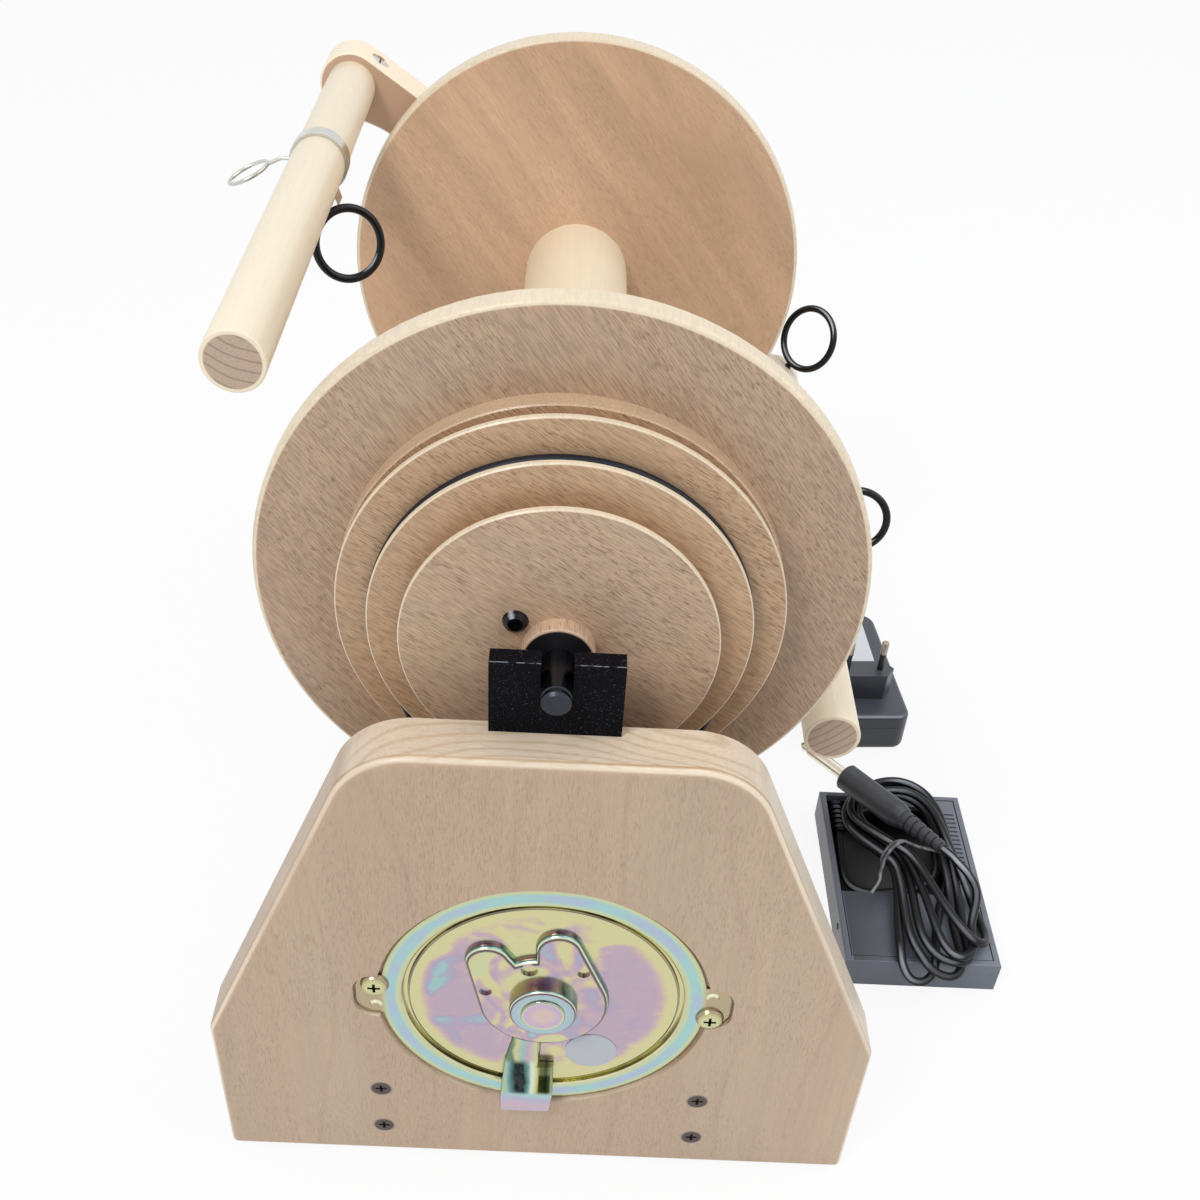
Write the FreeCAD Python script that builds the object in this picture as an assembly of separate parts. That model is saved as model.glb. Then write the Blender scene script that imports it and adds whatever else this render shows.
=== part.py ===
"""Electric yarn spinner: motor panel, belt-driven bobbin, flyer, pedal and wall adapter.

Millimetres. +Z is up, the spindle runs along Y from the motor panel (small y) to the
orifice (large y), and x = 0 is the spindle's vertical plane. The pieces are built with
y = 0 on the motor panel's show face, and saved with the origin on the ground under the
middle of the foot below that panel.
"""
import FreeCAD
import Part
import math
import os

from FreeCAD import Vector

os.makedirs("parts", exist_ok=True)

# ---------------------------------------------------------------- clearances
RUN_GAP = 0.06        # radial gap of a shaft in its bush
SLIP_GAP = 0.3        # gap between parts that move past each other
SEAT_GAP = 0.05       # gap of a fastener in its hole

# ---------------------------------------------------------------- wooden frame
FOOT_H = 3.0          # rubber foot under the boards
FOOT_R = 8.0
FOOT_INSET = 16.0     # foot centre from the panel's side
BOARD_T = 21.0        # beech boards
PANEL_W = 260.6       # full width at the bottom
PANEL_WAIST_H = 76.8  # height where the sides turn inwards
PANEL_TOP_W = 132.2   # width of the top edge, before its corners are rounded
PANEL_H = 225.3
PANEL_TOP_R = 30.0    # rounding of the two top corners
PANEL_WAIST_R = 10.0
PANEL_EDGE_R = 3.2    # rounding along the show face
FRONT_ROOM = 24.3     # from the crossbar to the front panel, for the brake drum
RAIL_W = 22.0
RAIL_H = 46.0
RAIL_LIFT = 6.5       # rail above the panel's bottom edge
RAIL_X = 64.5         # rail centre from the middle
SCREW_LOW_Z = 16.5    # frame screws above the panel's bottom edge
SCREW_HIGH_Z = 42.5

# ---------------------------------------------------------------- spindle
AXIS_ABOVE_PANEL = 19.4
SHAFT_R = 5.0
SHAFT_START = 7.5
SHAFT_CHAMFER = 1.0
REST_W = 44.2         # plate that carries the shaft
REST_T = 7.2
REST_FRONT_Y = 15.9
REST_ABOVE_PANEL = 29.5
REST_DEPTH = 30.0     # how far the plate reaches down behind the panel's top edge
REST_SLOT_GAP = 0.3

# ---------------------------------------------------------------- bobbin
HUB_R = 12.4          # turned tube through the bobbin
BUSH_R = 10.0
BUSH_BRIM_R = 11.5
HUB_START = 31.0
BUSH_L = 16.0
BUSH_STAND = 0.5
DISC_R = (53.9, 65.4, 77.0)
DISC_Y = (37.1, 45.3, 53.1)
LIP_T = 2.8
GROOVE_DEPTH = 4.5
FLANGE_R = 107.6
FLANGE_T = 10.2
FLANGE_Y = 68.5       # rear flange, face towards the motor panel
FAR_FLANGE_Y = 335.0
FLANGE_EDGE_R = 2.0
CORE_R = 24.5
HUB_END_STAND = 13.8  # hub tube beyond the far flange
WHORL_SCREW_X = -14.6
WHORL_SCREW_UP = 10.5

# ---------------------------------------------------------------- flyer
ARM_R = 11.1          # dowel
ARM_ORBIT = 131.9     # dowel centre from the spindle
ARM_ANGLE = 34.4      # degrees above the horizontal
ARM_START = 83.0
CROSSBAR_GAP = 0.5    # between the bobbin's bush and the crossbar
CROSSBAR_T = 20.0
CROSSBAR_END_R = 14.8
CROSSBAR_HUB_R = 27.0
ARM_SOCKET = 12.0     # depth of the dowel in the crossbar
ARM_SCREW_R = 4.5
ARM_SCREW_OFFSET = 5.5
TUBE_R = 8.0          # orifice tube
TUBE_BORE = 5.5
TUBE_STAND = 28.7     # orifice tube past the front panel's inner face
DRUM_T = 8.0
DRUM_R = 16.0
DRUM_GROOVE_R = 13.0
SIDE_HOLE_R = 4.2

# ---------------------------------------------------------------- guides
EYE_R = 14.0          # screw eye, centre line of its wire
EYE_WIRE = 1.75
EYE_NECK = 1.2        # bare shank between the wood and the eye
EYE_SHANK = 9.0       # shank in the wood
LARGE_EYE_R = 15.6
UPPER_EYE_Y = 238.0
LOWER_EYE_Y = 220.0
CLIP_Y = 264.0
CLIP_W = 8.0
CLIP_T = 1.0
LOOP_R = 9.2
LOOP_WIRE = 0.8
LOOP_STEM = 11.0

# ---------------------------------------------------------------- motor
MOTOR_Z = 102.0       # motor axis above the panel's bottom edge
RIM_R = 62.5
RIM_FRONT_Y = 1.5
SHEET_T = 1.2
CAN_R = 54.6
CAN_BACK_Y = 30.0
PAN_Y = 2.5
MOAT_Y = 3.6          # bottom of the groove around the pan
MOAT_W = 1.4
BOSS_Y = -0.5
BOSS_R = 25.0
LOBE_R = 8.8
LOBE_REACH = 31.0
LOBE_ANGLES = (80.5, 133.0)
CUP_R = 13.0
CUP_FACE_Y = -5.0
CUP_RING_R = 8.5
CUP_RING_H = 0.8
BOSS_EDGE_R = 2.4
COVER_X = -5.5        # middle of the lead cover
COVER_RIB = 1.6       # height of its rib above the pan
COVER_SWELL = 6.5     # how far it stands before the panel
EAR_X = 71.3
EAR_TOP = 11.5        # ear above the motor axis
EAR_BOTTOM = 10.5
EAR_HOLE_X = 64.0
EAR_HOLE_STEP = 6.3
MOTOR_SHAFT_R = 3.0
MOTOR_BUSH_R = 6.0
PULLEY_R = 18.0       # belt centre line on the motor pulley
BELT_R = 2.1
BELT_GAP = 0.3

# ---------------------------------------------------------------- controls
FASCIA_W = 150.0
FASCIA_H = 46.0
FASCIA_T = 2.0
FASCIA_Z = 36.0       # middle of the control plate
CONTROL_W = 128.0     # opening in the front panel
CONTROL_H = 34.0
BOX_DEPTH = 46.0
KNOB_X = -40.0
KNOB_R = 11.0
KNOB_L = 14.0
ROCKER_X = -6.0
INLET_X = 20.0
SOCKET_X = 42.0
BOARD_BACK = 12.0     # circuit board behind the front panel's inner face
JACK_R = 3.175

# ---------------------------------------------------------------- pedal
PEDAL_X = (142.7, 217.2)
PEDAL_Y = (101.5, 217.5)
PEDAL_H = 17.5
PEDAL_WALL = 3.0
PEDAL_FLOOR = 3.0
TREADLE_T = 3.0
TREADLE_GAP = 0.5
WINDOW_X = (145.0, 204.0)   # open to the tray's left wall
WINDOW_Y = (146.0, 208.5)
PIVOT_Y = 128.0
PIVOT_Z = 11.0
PIVOT_R = 1.5
CORD_R = 2.1
GLAND_X = 151.5
GLAND_Z = 10.5
PIVOT_GAP = 0.12

# ---------------------------------------------------------------- jack plug
JACK_TIP = Vector(130.1, 225.8, 43.5)
JACK_TURN = -49.5     # heading of the plug from its tip to its cord, degrees
SHANK_L = 31.0
HANDLE_L = 40.0
HANDLE_R = 7.0
RELIEF_L = 25.0

# ---------------------------------------------------------------- wall adapter
PLUG_X = 172.3        # middle of the two mains pins
PLUG_Y = 294.6
PIN_SPACING = 19.0
PIN_R = 2.0
PIN_L = 19.0
SLEEVE_L = 10.0
PIN_NECK_R = 1.3
SLEEVE_R = 1.7
ADAPTER_W = 52.0
ADAPTER_FRONT = 23.0  # body in front of the pins
ADAPTER_L = 98.0
ADAPTER_H = 25.0
ADAPTER_SPLIT = 16.5
ADAPTER_FLOOR = 2.2
PIN_ROOT = 12.0       # pin inside the plug block
BLOCK_H = 16.5
BLOCK_W = 35.6
BLOCK_D = 13.7
ADAPTER_TURN = 4.0

# ---------------------------------------------------------------- worked out
PANEL_TOP = FOOT_H + PANEL_H
AXIS_Z = PANEL_TOP + AXIS_ABOVE_PANEL
MOTOR_AXIS_Z = FOOT_H + MOTOR_Z
REST_BACK_Y = REST_FRONT_Y + REST_T
REST_STAND = REST_BACK_Y - BOARD_T          # plate proud of the panel's inner face
HUB_END = FAR_FLANGE_Y + FLANGE_T + HUB_END_STAND
CROSSBAR_Y = HUB_END + BUSH_STAND + CROSSBAR_GAP
CROSSBAR_END = CROSSBAR_Y + CROSSBAR_T
FRONT_Y = CROSSBAR_END + FRONT_ROOM           # inner face of the front panel
FRONT_REST_Y = FRONT_Y - REST_STAND
TUBE_END = FRONT_Y + TUBE_STAND
DRUM_Y = CROSSBAR_END + SLIP_GAP
GROOVE_Y = DISC_Y[1] + LIP_T + (DISC_Y[2] - DISC_Y[1] - LIP_T) / 2
BELT_ORBIT = DISC_R[1] - GROOVE_DEPTH + BELT_R + BELT_GAP
FRONT_FACE_Y = FRONT_Y + BOARD_T
EYE_FIT = EYE_WIRE + SEAT_GAP
Y_AXIS = Vector(0, 1, 0)
SPINDLE = Vector(0, 0, AXIS_Z)


# ================================================================ helpers
def save(name, shape):
    """Move one node so that the origin is under the middle foot, and write it."""
    shape.translate(Vector(0, -BOARD_T / 2, 0))
    shape.exportStep("parts/" + name + ".step")
    print(name, len(shape.Solids), round(shape.Volume, 1), shape.isValid())


def group(shapes):
    """Separate solids in one node."""
    return Part.makeCompound(shapes)


def fused(shapes):
    """Join touching shapes into one solid."""
    return shapes[0].multiFuse(shapes[1:]).removeSplitter()


def box(x, y, z):
    """Block between the two values given for each axis."""
    return Part.makeBox(x[1] - x[0], y[1] - y[0], z[1] - z[0], Vector(x[0], y[0], z[0]))


def disc(r, y0, y1, x=0.0, z=0.0):
    """Cylinder along Y between y0 and y1."""
    return Part.makeCylinder(r, y1 - y0, Vector(x, y0, z), Y_AXIS)


def ring(r_out, r_in, y0, y1, x=0.0, z=0.0):
    """Tube along Y."""
    return disc(r_out, y0, y1, x, z).cut(disc(r_in, y0 - 1, y1 + 1, x, z))


def rod(start, end, r):
    """Cylinder from one point to another."""
    run = end - start
    return Part.makeCylinder(r, run.Length, start, run)


def rounded(points, radii, place):
    """Closed wire through points, each corner rounded by its radius."""
    count = len(points)
    edges = []
    joints = []
    for i in range(count):
        here = Vector(points[i][0], points[i][1], 0)
        back = Vector(points[i - 1][0], points[i - 1][1], 0) - here
        ahead = Vector(points[(i + 1) % count][0], points[(i + 1) % count][1], 0) - here
        back.normalize()
        ahead.normalize()
        if radii[i] == 0:
            joints.append((here, None, here))
            continue
        half = back.getAngle(ahead) / 2
        reach = radii[i] / math.tan(half)
        bisector = (back + ahead).normalize()
        middle = here + bisector * (radii[i] / math.sin(half) - radii[i])
        joints.append((here + back * reach, middle, here + ahead * reach))
    for i in range(count):
        first, middle, last = joints[i]
        if middle is not None:
            edges.append(Part.Arc(place(first), place(middle), place(last)).toShape())
        following = joints[(i + 1) % count][0]
        if (following - last).Length > 1e-6:
            edges.append(Part.makeLine(place(last), place(following)))
    return Part.Wire(edges)


def upright(points, radii, y0, y1):
    """Plate with an outline in X and Z, from y0 to y1."""
    wire = rounded(points, radii, lambda p: Vector(p.x, y0, p.y))
    return Part.Face(wire).extrude(Vector(0, y1 - y0, 0))


def flat(points, radii, z0, z1):
    """Plate with an outline in X and Y, from z0 to z1."""
    wire = rounded(points, radii, lambda p: Vector(p.x, p.y, z0))
    return Part.Face(wire).extrude(Vector(0, 0, z1 - z0))


def turned(profile, x=0.0, z=0.0):
    """Solid turned about an axis along Y from (radius, y) points."""
    points = [Vector(x + r, y, z) for r, y in profile]
    face = Part.Face(Part.makePolygon(points + points[:1]))
    return face.revolve(Vector(x, 0, z), Y_AXIS, 360)


def soften(shape, radius, wanted):
    """Fillet the edges that pass the test."""
    return shape.makeFillet(radius, [edge for edge in shape.Edges if wanted(edge)])


def arc_tube(centre, normal, start, angle, wire_r):
    """Part of a ring: a round wire swept about a centre from a start point."""
    arm = start - centre
    tangent = normal.cross(arm)
    face = Part.Face(Part.Wire(Part.makeCircle(wire_r, start, tangent)))
    return face.revolve(centre, normal, angle)


def path_tube(points, r):
    """Tube of straight runs joined by tangent arcs, with its radii and length."""
    pieces = []
    radii = []
    length = 0.0
    cursor = points[0]
    for i in range(1, len(points) - 1):
        before = points[i] - points[i - 1]
        after = points[i + 1] - points[i]
        turn = before.getAngle(after)
        reach = 0.45 * min(before.Length, after.Length)
        bend = reach / math.tan(turn / 2)
        enter = points[i] - Vector(before).normalize() * reach
        normal = before.cross(after).normalize()
        centre = enter + normal.cross(Vector(before).normalize()) * bend
        pieces.append(rod(cursor, enter, r))
        pieces.append(arc_tube(centre, normal, enter, math.degrees(turn), r))
        length += (enter - cursor).Length + bend * turn
        radii.append(round(bend, 1))
        cursor = points[i] + Vector(after).normalize() * reach
    pieces.append(rod(cursor, points[-1], r))
    length += (points[-1] - cursor).Length
    tube = fused(pieces)
    print("  bend radii", radii, "volume share", round(tube.Volume / (math.pi * r * r * length), 4))
    return tube


def phillips(x, y, z, reach, depth, along):
    """Cross recess cut into a screw head that faces along or against Y."""
    y0, y1 = sorted((y, y + along * depth))
    slot = 0.55
    return fused([box((x - reach, x + reach), (y0, y1), (z - slot, z + slot)),
                  box((x - slot, x + slot), (y0, y1), (z - reach, z + reach))])


# ================================================================ wooden frame
def panel_outline():
    """Trapezoid board outline with upright lower sides."""
    half, top = PANEL_W / 2, PANEL_TOP_W / 2
    waist = FOOT_H + PANEL_WAIST_H
    points = [(-half, FOOT_H), (half, FOOT_H), (half, waist),
              (top, PANEL_TOP), (-top, PANEL_TOP), (-half, waist)]
    return points, [0, 0, PANEL_WAIST_R, PANEL_TOP_R, PANEL_TOP_R, PANEL_WAIST_R]


FRAME_SCREWS = [(side * RAIL_X, FOOT_H + up) for side in (-1, 1) for up in (SCREW_LOW_Z, SCREW_HIGH_Z)]
FRAME_SCREW_HEAD = 4.6
FRAME_SCREW_CONE = 3.2
FRAME_SCREW_R = 2.0
FRAME_SCREW_L = 46.0


def screw_form(x, z, face_y, inward, gap):
    """Countersunk screw, or its hole when a gap is given."""
    r, head = FRAME_SCREW_R + gap, FRAME_SCREW_HEAD + gap
    cone = FRAME_SCREW_CONE
    profile = [(0, face_y), (head, face_y), (r, face_y + inward * cone),
               (r, face_y + inward * (FRAME_SCREW_L + gap)), (0, face_y + inward * (FRAME_SCREW_L + gap))]
    return turned(profile, x, z)


def frame_screws(face_y, inward):
    """Four screws that hold one panel to the ends of the rails."""
    screws = []
    for x, z in FRAME_SCREWS:
        recess = phillips(x, face_y, z, 2.3, 1.6, inward)
        screws.append(screw_form(x, z, face_y, inward, 0.0).cut(recess))
    return group(screws)


def board(face_y, back_y, notch_y, show_face):
    """Panel with its rounded show face and the notch for the rest plate."""
    points, radii = panel_outline()
    low, high = sorted((face_y, back_y))
    panel = upright(points, radii, low, high)

    def on_show_face(edge):
        middle = edge.CenterOfMass
        return abs(middle.y - show_face) < 1e-3 and middle.z > FOOT_H + 1

    panel = soften(panel, PANEL_EDGE_R, on_show_face)
    half = REST_W / 2 + SEAT_GAP
    notch = box((-half, half), sorted((notch_y, back_y)), (PANEL_TOP - REST_DEPTH, PANEL_TOP + 1))
    inward = 1 if back_y > face_y else -1
    holes = [screw_form(x, z, face_y, inward, SEAT_GAP) for x, z in FRAME_SCREWS]
    return panel.cut(fused([notch])).cut(group(holes))


def motor_panel():
    panel = board(0.0, BOARD_T, REST_FRONT_Y, 0.0)
    seat = disc(RIM_R + 1.2, -1, RIM_FRONT_Y + SHEET_T, 0, MOTOR_AXIS_Z)
    hole = disc(CAN_R + 0.5, -1, BOARD_T + 1, 0, MOTOR_AXIS_Z)
    ears = ear_plate(RIM_FRONT_Y + SHEET_T, 1.0)
    pilots = [disc(MOTOR_SCREW_R + SEAT_GAP, 0, MOTOR_SCREW_END + 1, x, z) for x, z in MOTOR_SCREWS]
    rest_pilots = rest_screw_holes(REST_FRONT_Y - REST_SCREW_L + REST_T - 1, REST_FRONT_Y + 1)
    return panel.cut(group([seat, hole, ears] + pilots)).cut(rest_pilots)


def front_panel():
    panel = board(FRONT_FACE_Y, FRONT_Y, FRONT_REST_Y + REST_T, FRONT_FACE_Y)
    control = box((-CONTROL_W / 2, CONTROL_W / 2), (FRONT_Y - 1, FRONT_FACE_Y + 1),
                  (FASCIA_Z - CONTROL_H / 2, FASCIA_Z + CONTROL_H / 2))
    peg = disc(PEG_R + RUN_GAP, FRONT_Y - 1, FRONT_FACE_Y + 1, PEG_X, PEG_Z)
    hook = disc(HOOK_R + SEAT_GAP, FRONT_Y - 1, FRONT_Y + HOOK_DEPTH + 1, -PEG_X, PEG_Z)
    relief = disc(TUBE_R + 6, FRONT_Y - 1, FRONT_FACE_Y + 1, 0, AXIS_Z)
    pilots = rest_screw_holes(FRONT_REST_Y + REST_T - 1, FRONT_REST_Y + REST_SCREW_L + 1)
    return panel.cut(group([control, peg, hook, relief])).cut(pilots)


def rail(side):
    """Beech rail between the panels, with pilot holes for the frame screws."""
    x = side * RAIL_X
    z0 = FOOT_H + RAIL_LIFT
    bar = box((x - RAIL_W / 2, x + RAIL_W / 2), (BOARD_T, FRONT_Y), (z0, z0 + RAIL_H))
    holes = []
    for hole_x, z in FRAME_SCREWS:
        if hole_x * side > 0:
            holes.append(disc(FRAME_SCREW_R + SEAT_GAP, BOARD_T - 1, FRAME_SCREW_L + SEAT_GAP, x, z))
            holes.append(disc(FRAME_SCREW_R + SEAT_GAP, FRONT_FACE_Y - FRAME_SCREW_L - SEAT_GAP, FRONT_Y + 1, x, z))
    return bar.cut(group(holes))


def rubber_feet():
    """Feet under both panels: three at the motor, two at the front."""
    side = PANEL_W / 2 - FOOT_INSET
    spots = [(x, BOARD_T / 2) for x in (-side, 0.0, side)]
    spots += [(x, FRONT_Y + BOARD_T / 2) for x in (-side, side)]
    return group([Part.makeCylinder(FOOT_R, FOOT_H, Vector(x, y, 0)) for x, y in spots])


# ================================================================ shaft rests
REST_SCREW_X = 14.0
REST_SCREW_Z = PANEL_TOP - REST_DEPTH / 2
REST_SCREW_R = 1.75
REST_SCREW_HEAD = 3.4
REST_SCREW_L = 16.0
REST_EDGE = 0.6


def rest_screw_holes(y0, y1):
    return group([disc(REST_SCREW_R + SEAT_GAP, y0, y1, side * REST_SCREW_X, REST_SCREW_Z)
                  for side in (-1, 1)])


def shaft_rest():
    """Black plate with an open slot in which the spindle lies."""
    half = REST_W / 2
    top = PANEL_TOP + REST_ABOVE_PANEL
    plate = box((-half, half), (REST_FRONT_Y, REST_BACK_Y), (PANEL_TOP - REST_DEPTH, top))
    plate = soften(plate, REST_EDGE, lambda edge: edge.CenterOfMass.z > top - 0.01)
    slot_r = SHAFT_R + REST_SLOT_GAP
    slot = box((-slot_r, slot_r), (REST_FRONT_Y - 1, REST_BACK_Y + 1), (AXIS_Z, top + 1))
    cradle = disc(SHAFT_R + RUN_GAP, REST_FRONT_Y - 1, REST_BACK_Y + 1, 0, AXIS_Z)
    return plate.cut(fused([slot, cradle])).cut(rest_screw_holes(REST_FRONT_Y - 1, REST_BACK_Y + 1))


def orifice_plate():
    """Plate on the front panel that holds the orifice bearing."""
    half = REST_W / 2
    y0, y1 = FRONT_REST_Y, FRONT_REST_Y + REST_T
    head = disc(half, y0, y1, 0, AXIS_Z)
    plate = box((-half, half), (y0, y1), (PANEL_TOP - REST_DEPTH, AXIS_Z))
    bore = disc(ORIFICE_BUSH_R, y0 - 1, y1 + 1, 0, AXIS_Z)
    return fused([head, plate]).cut(bore).cut(rest_screw_holes(y0 - 1, y1 + 1))


def rest_screws():
    """Pan-head screws of both plates, from the bobbin side."""
    screws = []
    for head_y, along in ((REST_BACK_Y, -1), (FRONT_REST_Y, 1)):
        for side in (-1, 1):
            x = side * REST_SCREW_X
            tip = head_y + along * REST_SCREW_L
            proud = head_y - along * 2.2
            profile = [(0, proud), (REST_SCREW_HEAD, proud), (REST_SCREW_HEAD, head_y),
                       (REST_SCREW_R, head_y), (REST_SCREW_R, tip), (0, tip)]
            recess = phillips(x, proud, REST_SCREW_Z, 1.8, 1.2, along)
            screws.append(turned(profile, x, REST_SCREW_Z).cut(recess))
    return group(screws)


# ================================================================ bobbin
def groove_bottom(index):
    return DISC_R[index] - GROOVE_DEPTH


def bored(profile):
    return turned(profile, 0, AXIS_Z)


def lip(r, y, edge=0.5):
    """Profile points of one rim with softened edges, from front to back."""
    return [(r - edge, y), (r, y + edge), (r, y + LIP_T - edge), (r - edge, y + LIP_T)]


def whorl_step(index):
    """One turned disc of the stepped whorl: a rim and the groove behind it."""
    y0, y1 = DISC_Y[index], DISC_Y[index + 1]
    floor = groove_bottom(index)
    return bored([(HUB_R, y0)] + lip(DISC_R[index], y0) + [(floor, y0 + LIP_T), (floor, y1), (HUB_R, y1)])


def whorl_large():
    """Largest disc: a rim, its groove and the plain rim against the flange."""
    y0 = DISC_Y[2]
    back = FLANGE_Y - LIP_T - 4.6
    floor = groove_bottom(2)
    profile = [(HUB_R, y0)] + lip(DISC_R[2], y0) + [(floor, y0 + LIP_T), (floor, back)]
    profile += [(DISC_R[2] - 0.5, back), (DISC_R[2], back + 0.5), (DISC_R[2], FLANGE_Y), (HUB_R, FLANGE_Y)]
    return bored(profile)


def screw_pocket():
    """Threaded hole of the whorl screw through the two smaller discs."""
    return disc(WHORL_SCREW_R + SEAT_GAP, DISC_Y[0] - 1, DISC_Y[2], WHORL_SCREW_X, AXIS_Z + WHORL_SCREW_UP)


WHORL_SCREW_R = 2.0
WHORL_SCREW_HEAD = 4.4


def whorl_screw():
    """Button-head screw with a hexagon socket."""
    x, z, y = WHORL_SCREW_X, AXIS_Z + WHORL_SCREW_UP, DISC_Y[0]
    button = turned([(0, y - 2.4), (2.6, y - 2.2), (3.9, y - 1.2), (WHORL_SCREW_HEAD, y), (0, y)], x, z)
    shank = disc(WHORL_SCREW_R, y, DISC_Y[2] - 1, x, z)
    corners = [(x + 1.35 * math.cos(math.radians(60 * i)), z + 1.35 * math.sin(math.radians(60 * i)))
               for i in range(6)]
    socket = upright(corners, [0] * 6, y - 3, y - 1)
    return fused([button, shank]).cut(socket)


def bobbin_flange(y0):
    """Large disc with rounded rims."""
    edge = FLANGE_EDGE_R
    plate = ring(FLANGE_R, HUB_R, y0, y0 + FLANGE_T, 0, AXIS_Z)
    return soften(plate, edge, lambda e: e.Length > 2 * math.pi * (FLANGE_R - 1) and e.CenterOfMass.z > 0
                  and len(e.Vertexes) == 1)


def bobbin_core():
    """Sleeve on which the yarn is wound."""
    return ring(CORE_R, HUB_R, FLANGE_Y + FLANGE_T, FAR_FLANGE_Y, 0, AXIS_Z)


def bobbin_hub():
    """Wooden tube through the whole bobbin, seen as the collar before the small disc."""
    tube = disc(HUB_R, HUB_START, HUB_END, 0, AXIS_Z)
    tube = soften(tube, 0.8, lambda e: len(e.Vertexes) == 1 and e.Length > 2 * math.pi * (HUB_R - 1))
    return tube.cut(disc(BUSH_R, HUB_START - 1, HUB_END + 1, 0, AXIS_Z))


def bobbin_bushes():
    """Black bushes pressed into both ends of the hub tube."""
    bushes = []
    for y0 in (HUB_START - BUSH_STAND, HUB_END + BUSH_STAND - BUSH_L):
        brim = y0 if y0 < HUB_START else HUB_END
        body = fused([disc(BUSH_R, y0, y0 + BUSH_L, 0, AXIS_Z), disc(BUSH_BRIM_R, brim, brim + BUSH_STAND, 0, AXIS_Z)])
        bushes.append(body.cut(disc(SHAFT_R + RUN_GAP, y0 - 1, y0 + BUSH_L + 1, 0, AXIS_Z)))
    return group(bushes)


# ================================================================ flyer
def arm_direction(side):
    """Unit vector from the spindle to one arm: -1 upper left, 1 lower right."""
    angle = math.radians(ARM_ANGLE)
    return Vector(side * math.cos(angle), 0, -side * math.sin(angle))


def across(side):
    """Unit vector across the crossbar, on the side of the arm screw."""
    angle = math.radians(ARM_ANGLE)
    return Vector(-side * math.sin(angle), 0, -side * math.cos(angle))


def arm_point(side, y, out=0.0, over=0.0):
    return SPINDLE + arm_direction(side) * (ARM_ORBIT + out) + across(side) * over + Vector(0, y, 0)


def flyer_shaft():
    """Steel spindle with a chamfered free end."""
    end = CROSSBAR_Y + 26
    groove = SHAFT_START + 2.4
    profile = [(0, SHAFT_START), (SHAFT_R - SHAFT_CHAMFER, SHAFT_START), (SHAFT_R, SHAFT_START + SHAFT_CHAMFER),
               (SHAFT_R, groove), (SHAFT_R - 0.5, groove + 0.3), (SHAFT_R - 0.5, groove + 1.1),
               (SHAFT_R, groove + 1.4), (SHAFT_R, end), (0, end)]
    return turned(profile, 0, AXIS_Z)


def flyer_crossbar():
    """Beech bar with round ends, a wider hub and one hollowed edge on each side."""
    r, end = CROSSBAR_END_R, ARM_ORBIT
    half = [(end, -r), (107, -7), (45, -16), (12, -CROSSBAR_HUB_R), (-30, -r), (-end, -r)]
    points = half + [(-a, -b) for a, b in half]

    def place(p):
        along, over = arm_direction(1) * p.x, across(1) * p.y
        return SPINDLE + along + over + Vector(0, CROSSBAR_Y, 0)

    radii = [0, 50, 90, 36, 40, 0] * 2
    bar = Part.Face(rounded(points, radii, place)).extrude(Vector(0, CROSSBAR_T, 0))
    ends = [rod(arm_point(s, CROSSBAR_Y), arm_point(s, CROSSBAR_END), r) for s in (-1, 1)]
    bar = fused([bar] + ends)
    bar = soften(bar, 1.5, lambda e: abs(e.CenterOfMass.y - CROSSBAR_Y) < 1e-3)
    sockets = [rod(arm_point(s, CROSSBAR_Y - 5), arm_point(s, CROSSBAR_Y + ARM_SOCKET), ARM_R)
               for s in (-1, 1)]
    bore = disc(TUBE_R, CROSSBAR_Y + 2, CROSSBAR_END + 1, 0, AXIS_Z)
    shaft = disc(SHAFT_R, CROSSBAR_Y - 1, CROSSBAR_END, 0, AXIS_Z)
    screws = [arm_screw_form(s, SEAT_GAP) for s in (-1, 1)]
    eye = rod(*eye_shank_ends(LARGE_EYE), EYE_FIT)
    return bar.cut(group(sockets)).cut(fused([bore, shaft])).cut(group(screws)).cut(eye)


def arm_screw_form(side, gap):
    """Steel screw that locks a dowel in the crossbar, or its hole."""
    middle = CROSSBAR_Y + CROSSBAR_T / 2
    top = arm_point(side, middle, -ARM_SCREW_OFFSET, CROSSBAR_END_R + (2 if gap else -0.6))
    neck = arm_point(side, middle, -ARM_SCREW_OFFSET, CROSSBAR_END_R - 3.4 - gap)
    tip = arm_point(side, middle, -ARM_SCREW_OFFSET, -2 - gap)
    return fused([rod(top, neck, ARM_SCREW_R + gap), rod(neck, tip, 2.0 + gap)])


def arm_screws():
    """Both locking screws, each with a slot."""
    screws = []
    for side in (-1, 1):
        top = arm_point(side, CROSSBAR_Y + CROSSBAR_T / 2, -ARM_SCREW_OFFSET, CROSSBAR_END_R - 0.6)
        slot = Part.makeBox(0.9, 12, 2.4, Vector(-0.45, -6, -1.2))
        slot.Placement = FreeCAD.Placement(top, FreeCAD.Rotation(Vector(0, 0, 1), across(side)))
        screws.append(arm_screw_form(side, 0.0).cut(slot))
    return group(screws)


def flyer_arm(side, shanks):
    """Dowel with an eased free end, bored for its locking screw and its screw eye."""
    dowel = rod(arm_point(side, ARM_START), arm_point(side, CROSSBAR_Y + ARM_SOCKET), ARM_R)
    dowel = soften(dowel, 0.6, lambda e: len(e.Vertexes) == 1 and e.CenterOfMass.y < ARM_START + 1)
    return dowel.cut(arm_screw_form(side, SEAT_GAP)).cut(group([rod(*ends, EYE_FIT) for ends in shanks]))


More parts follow.
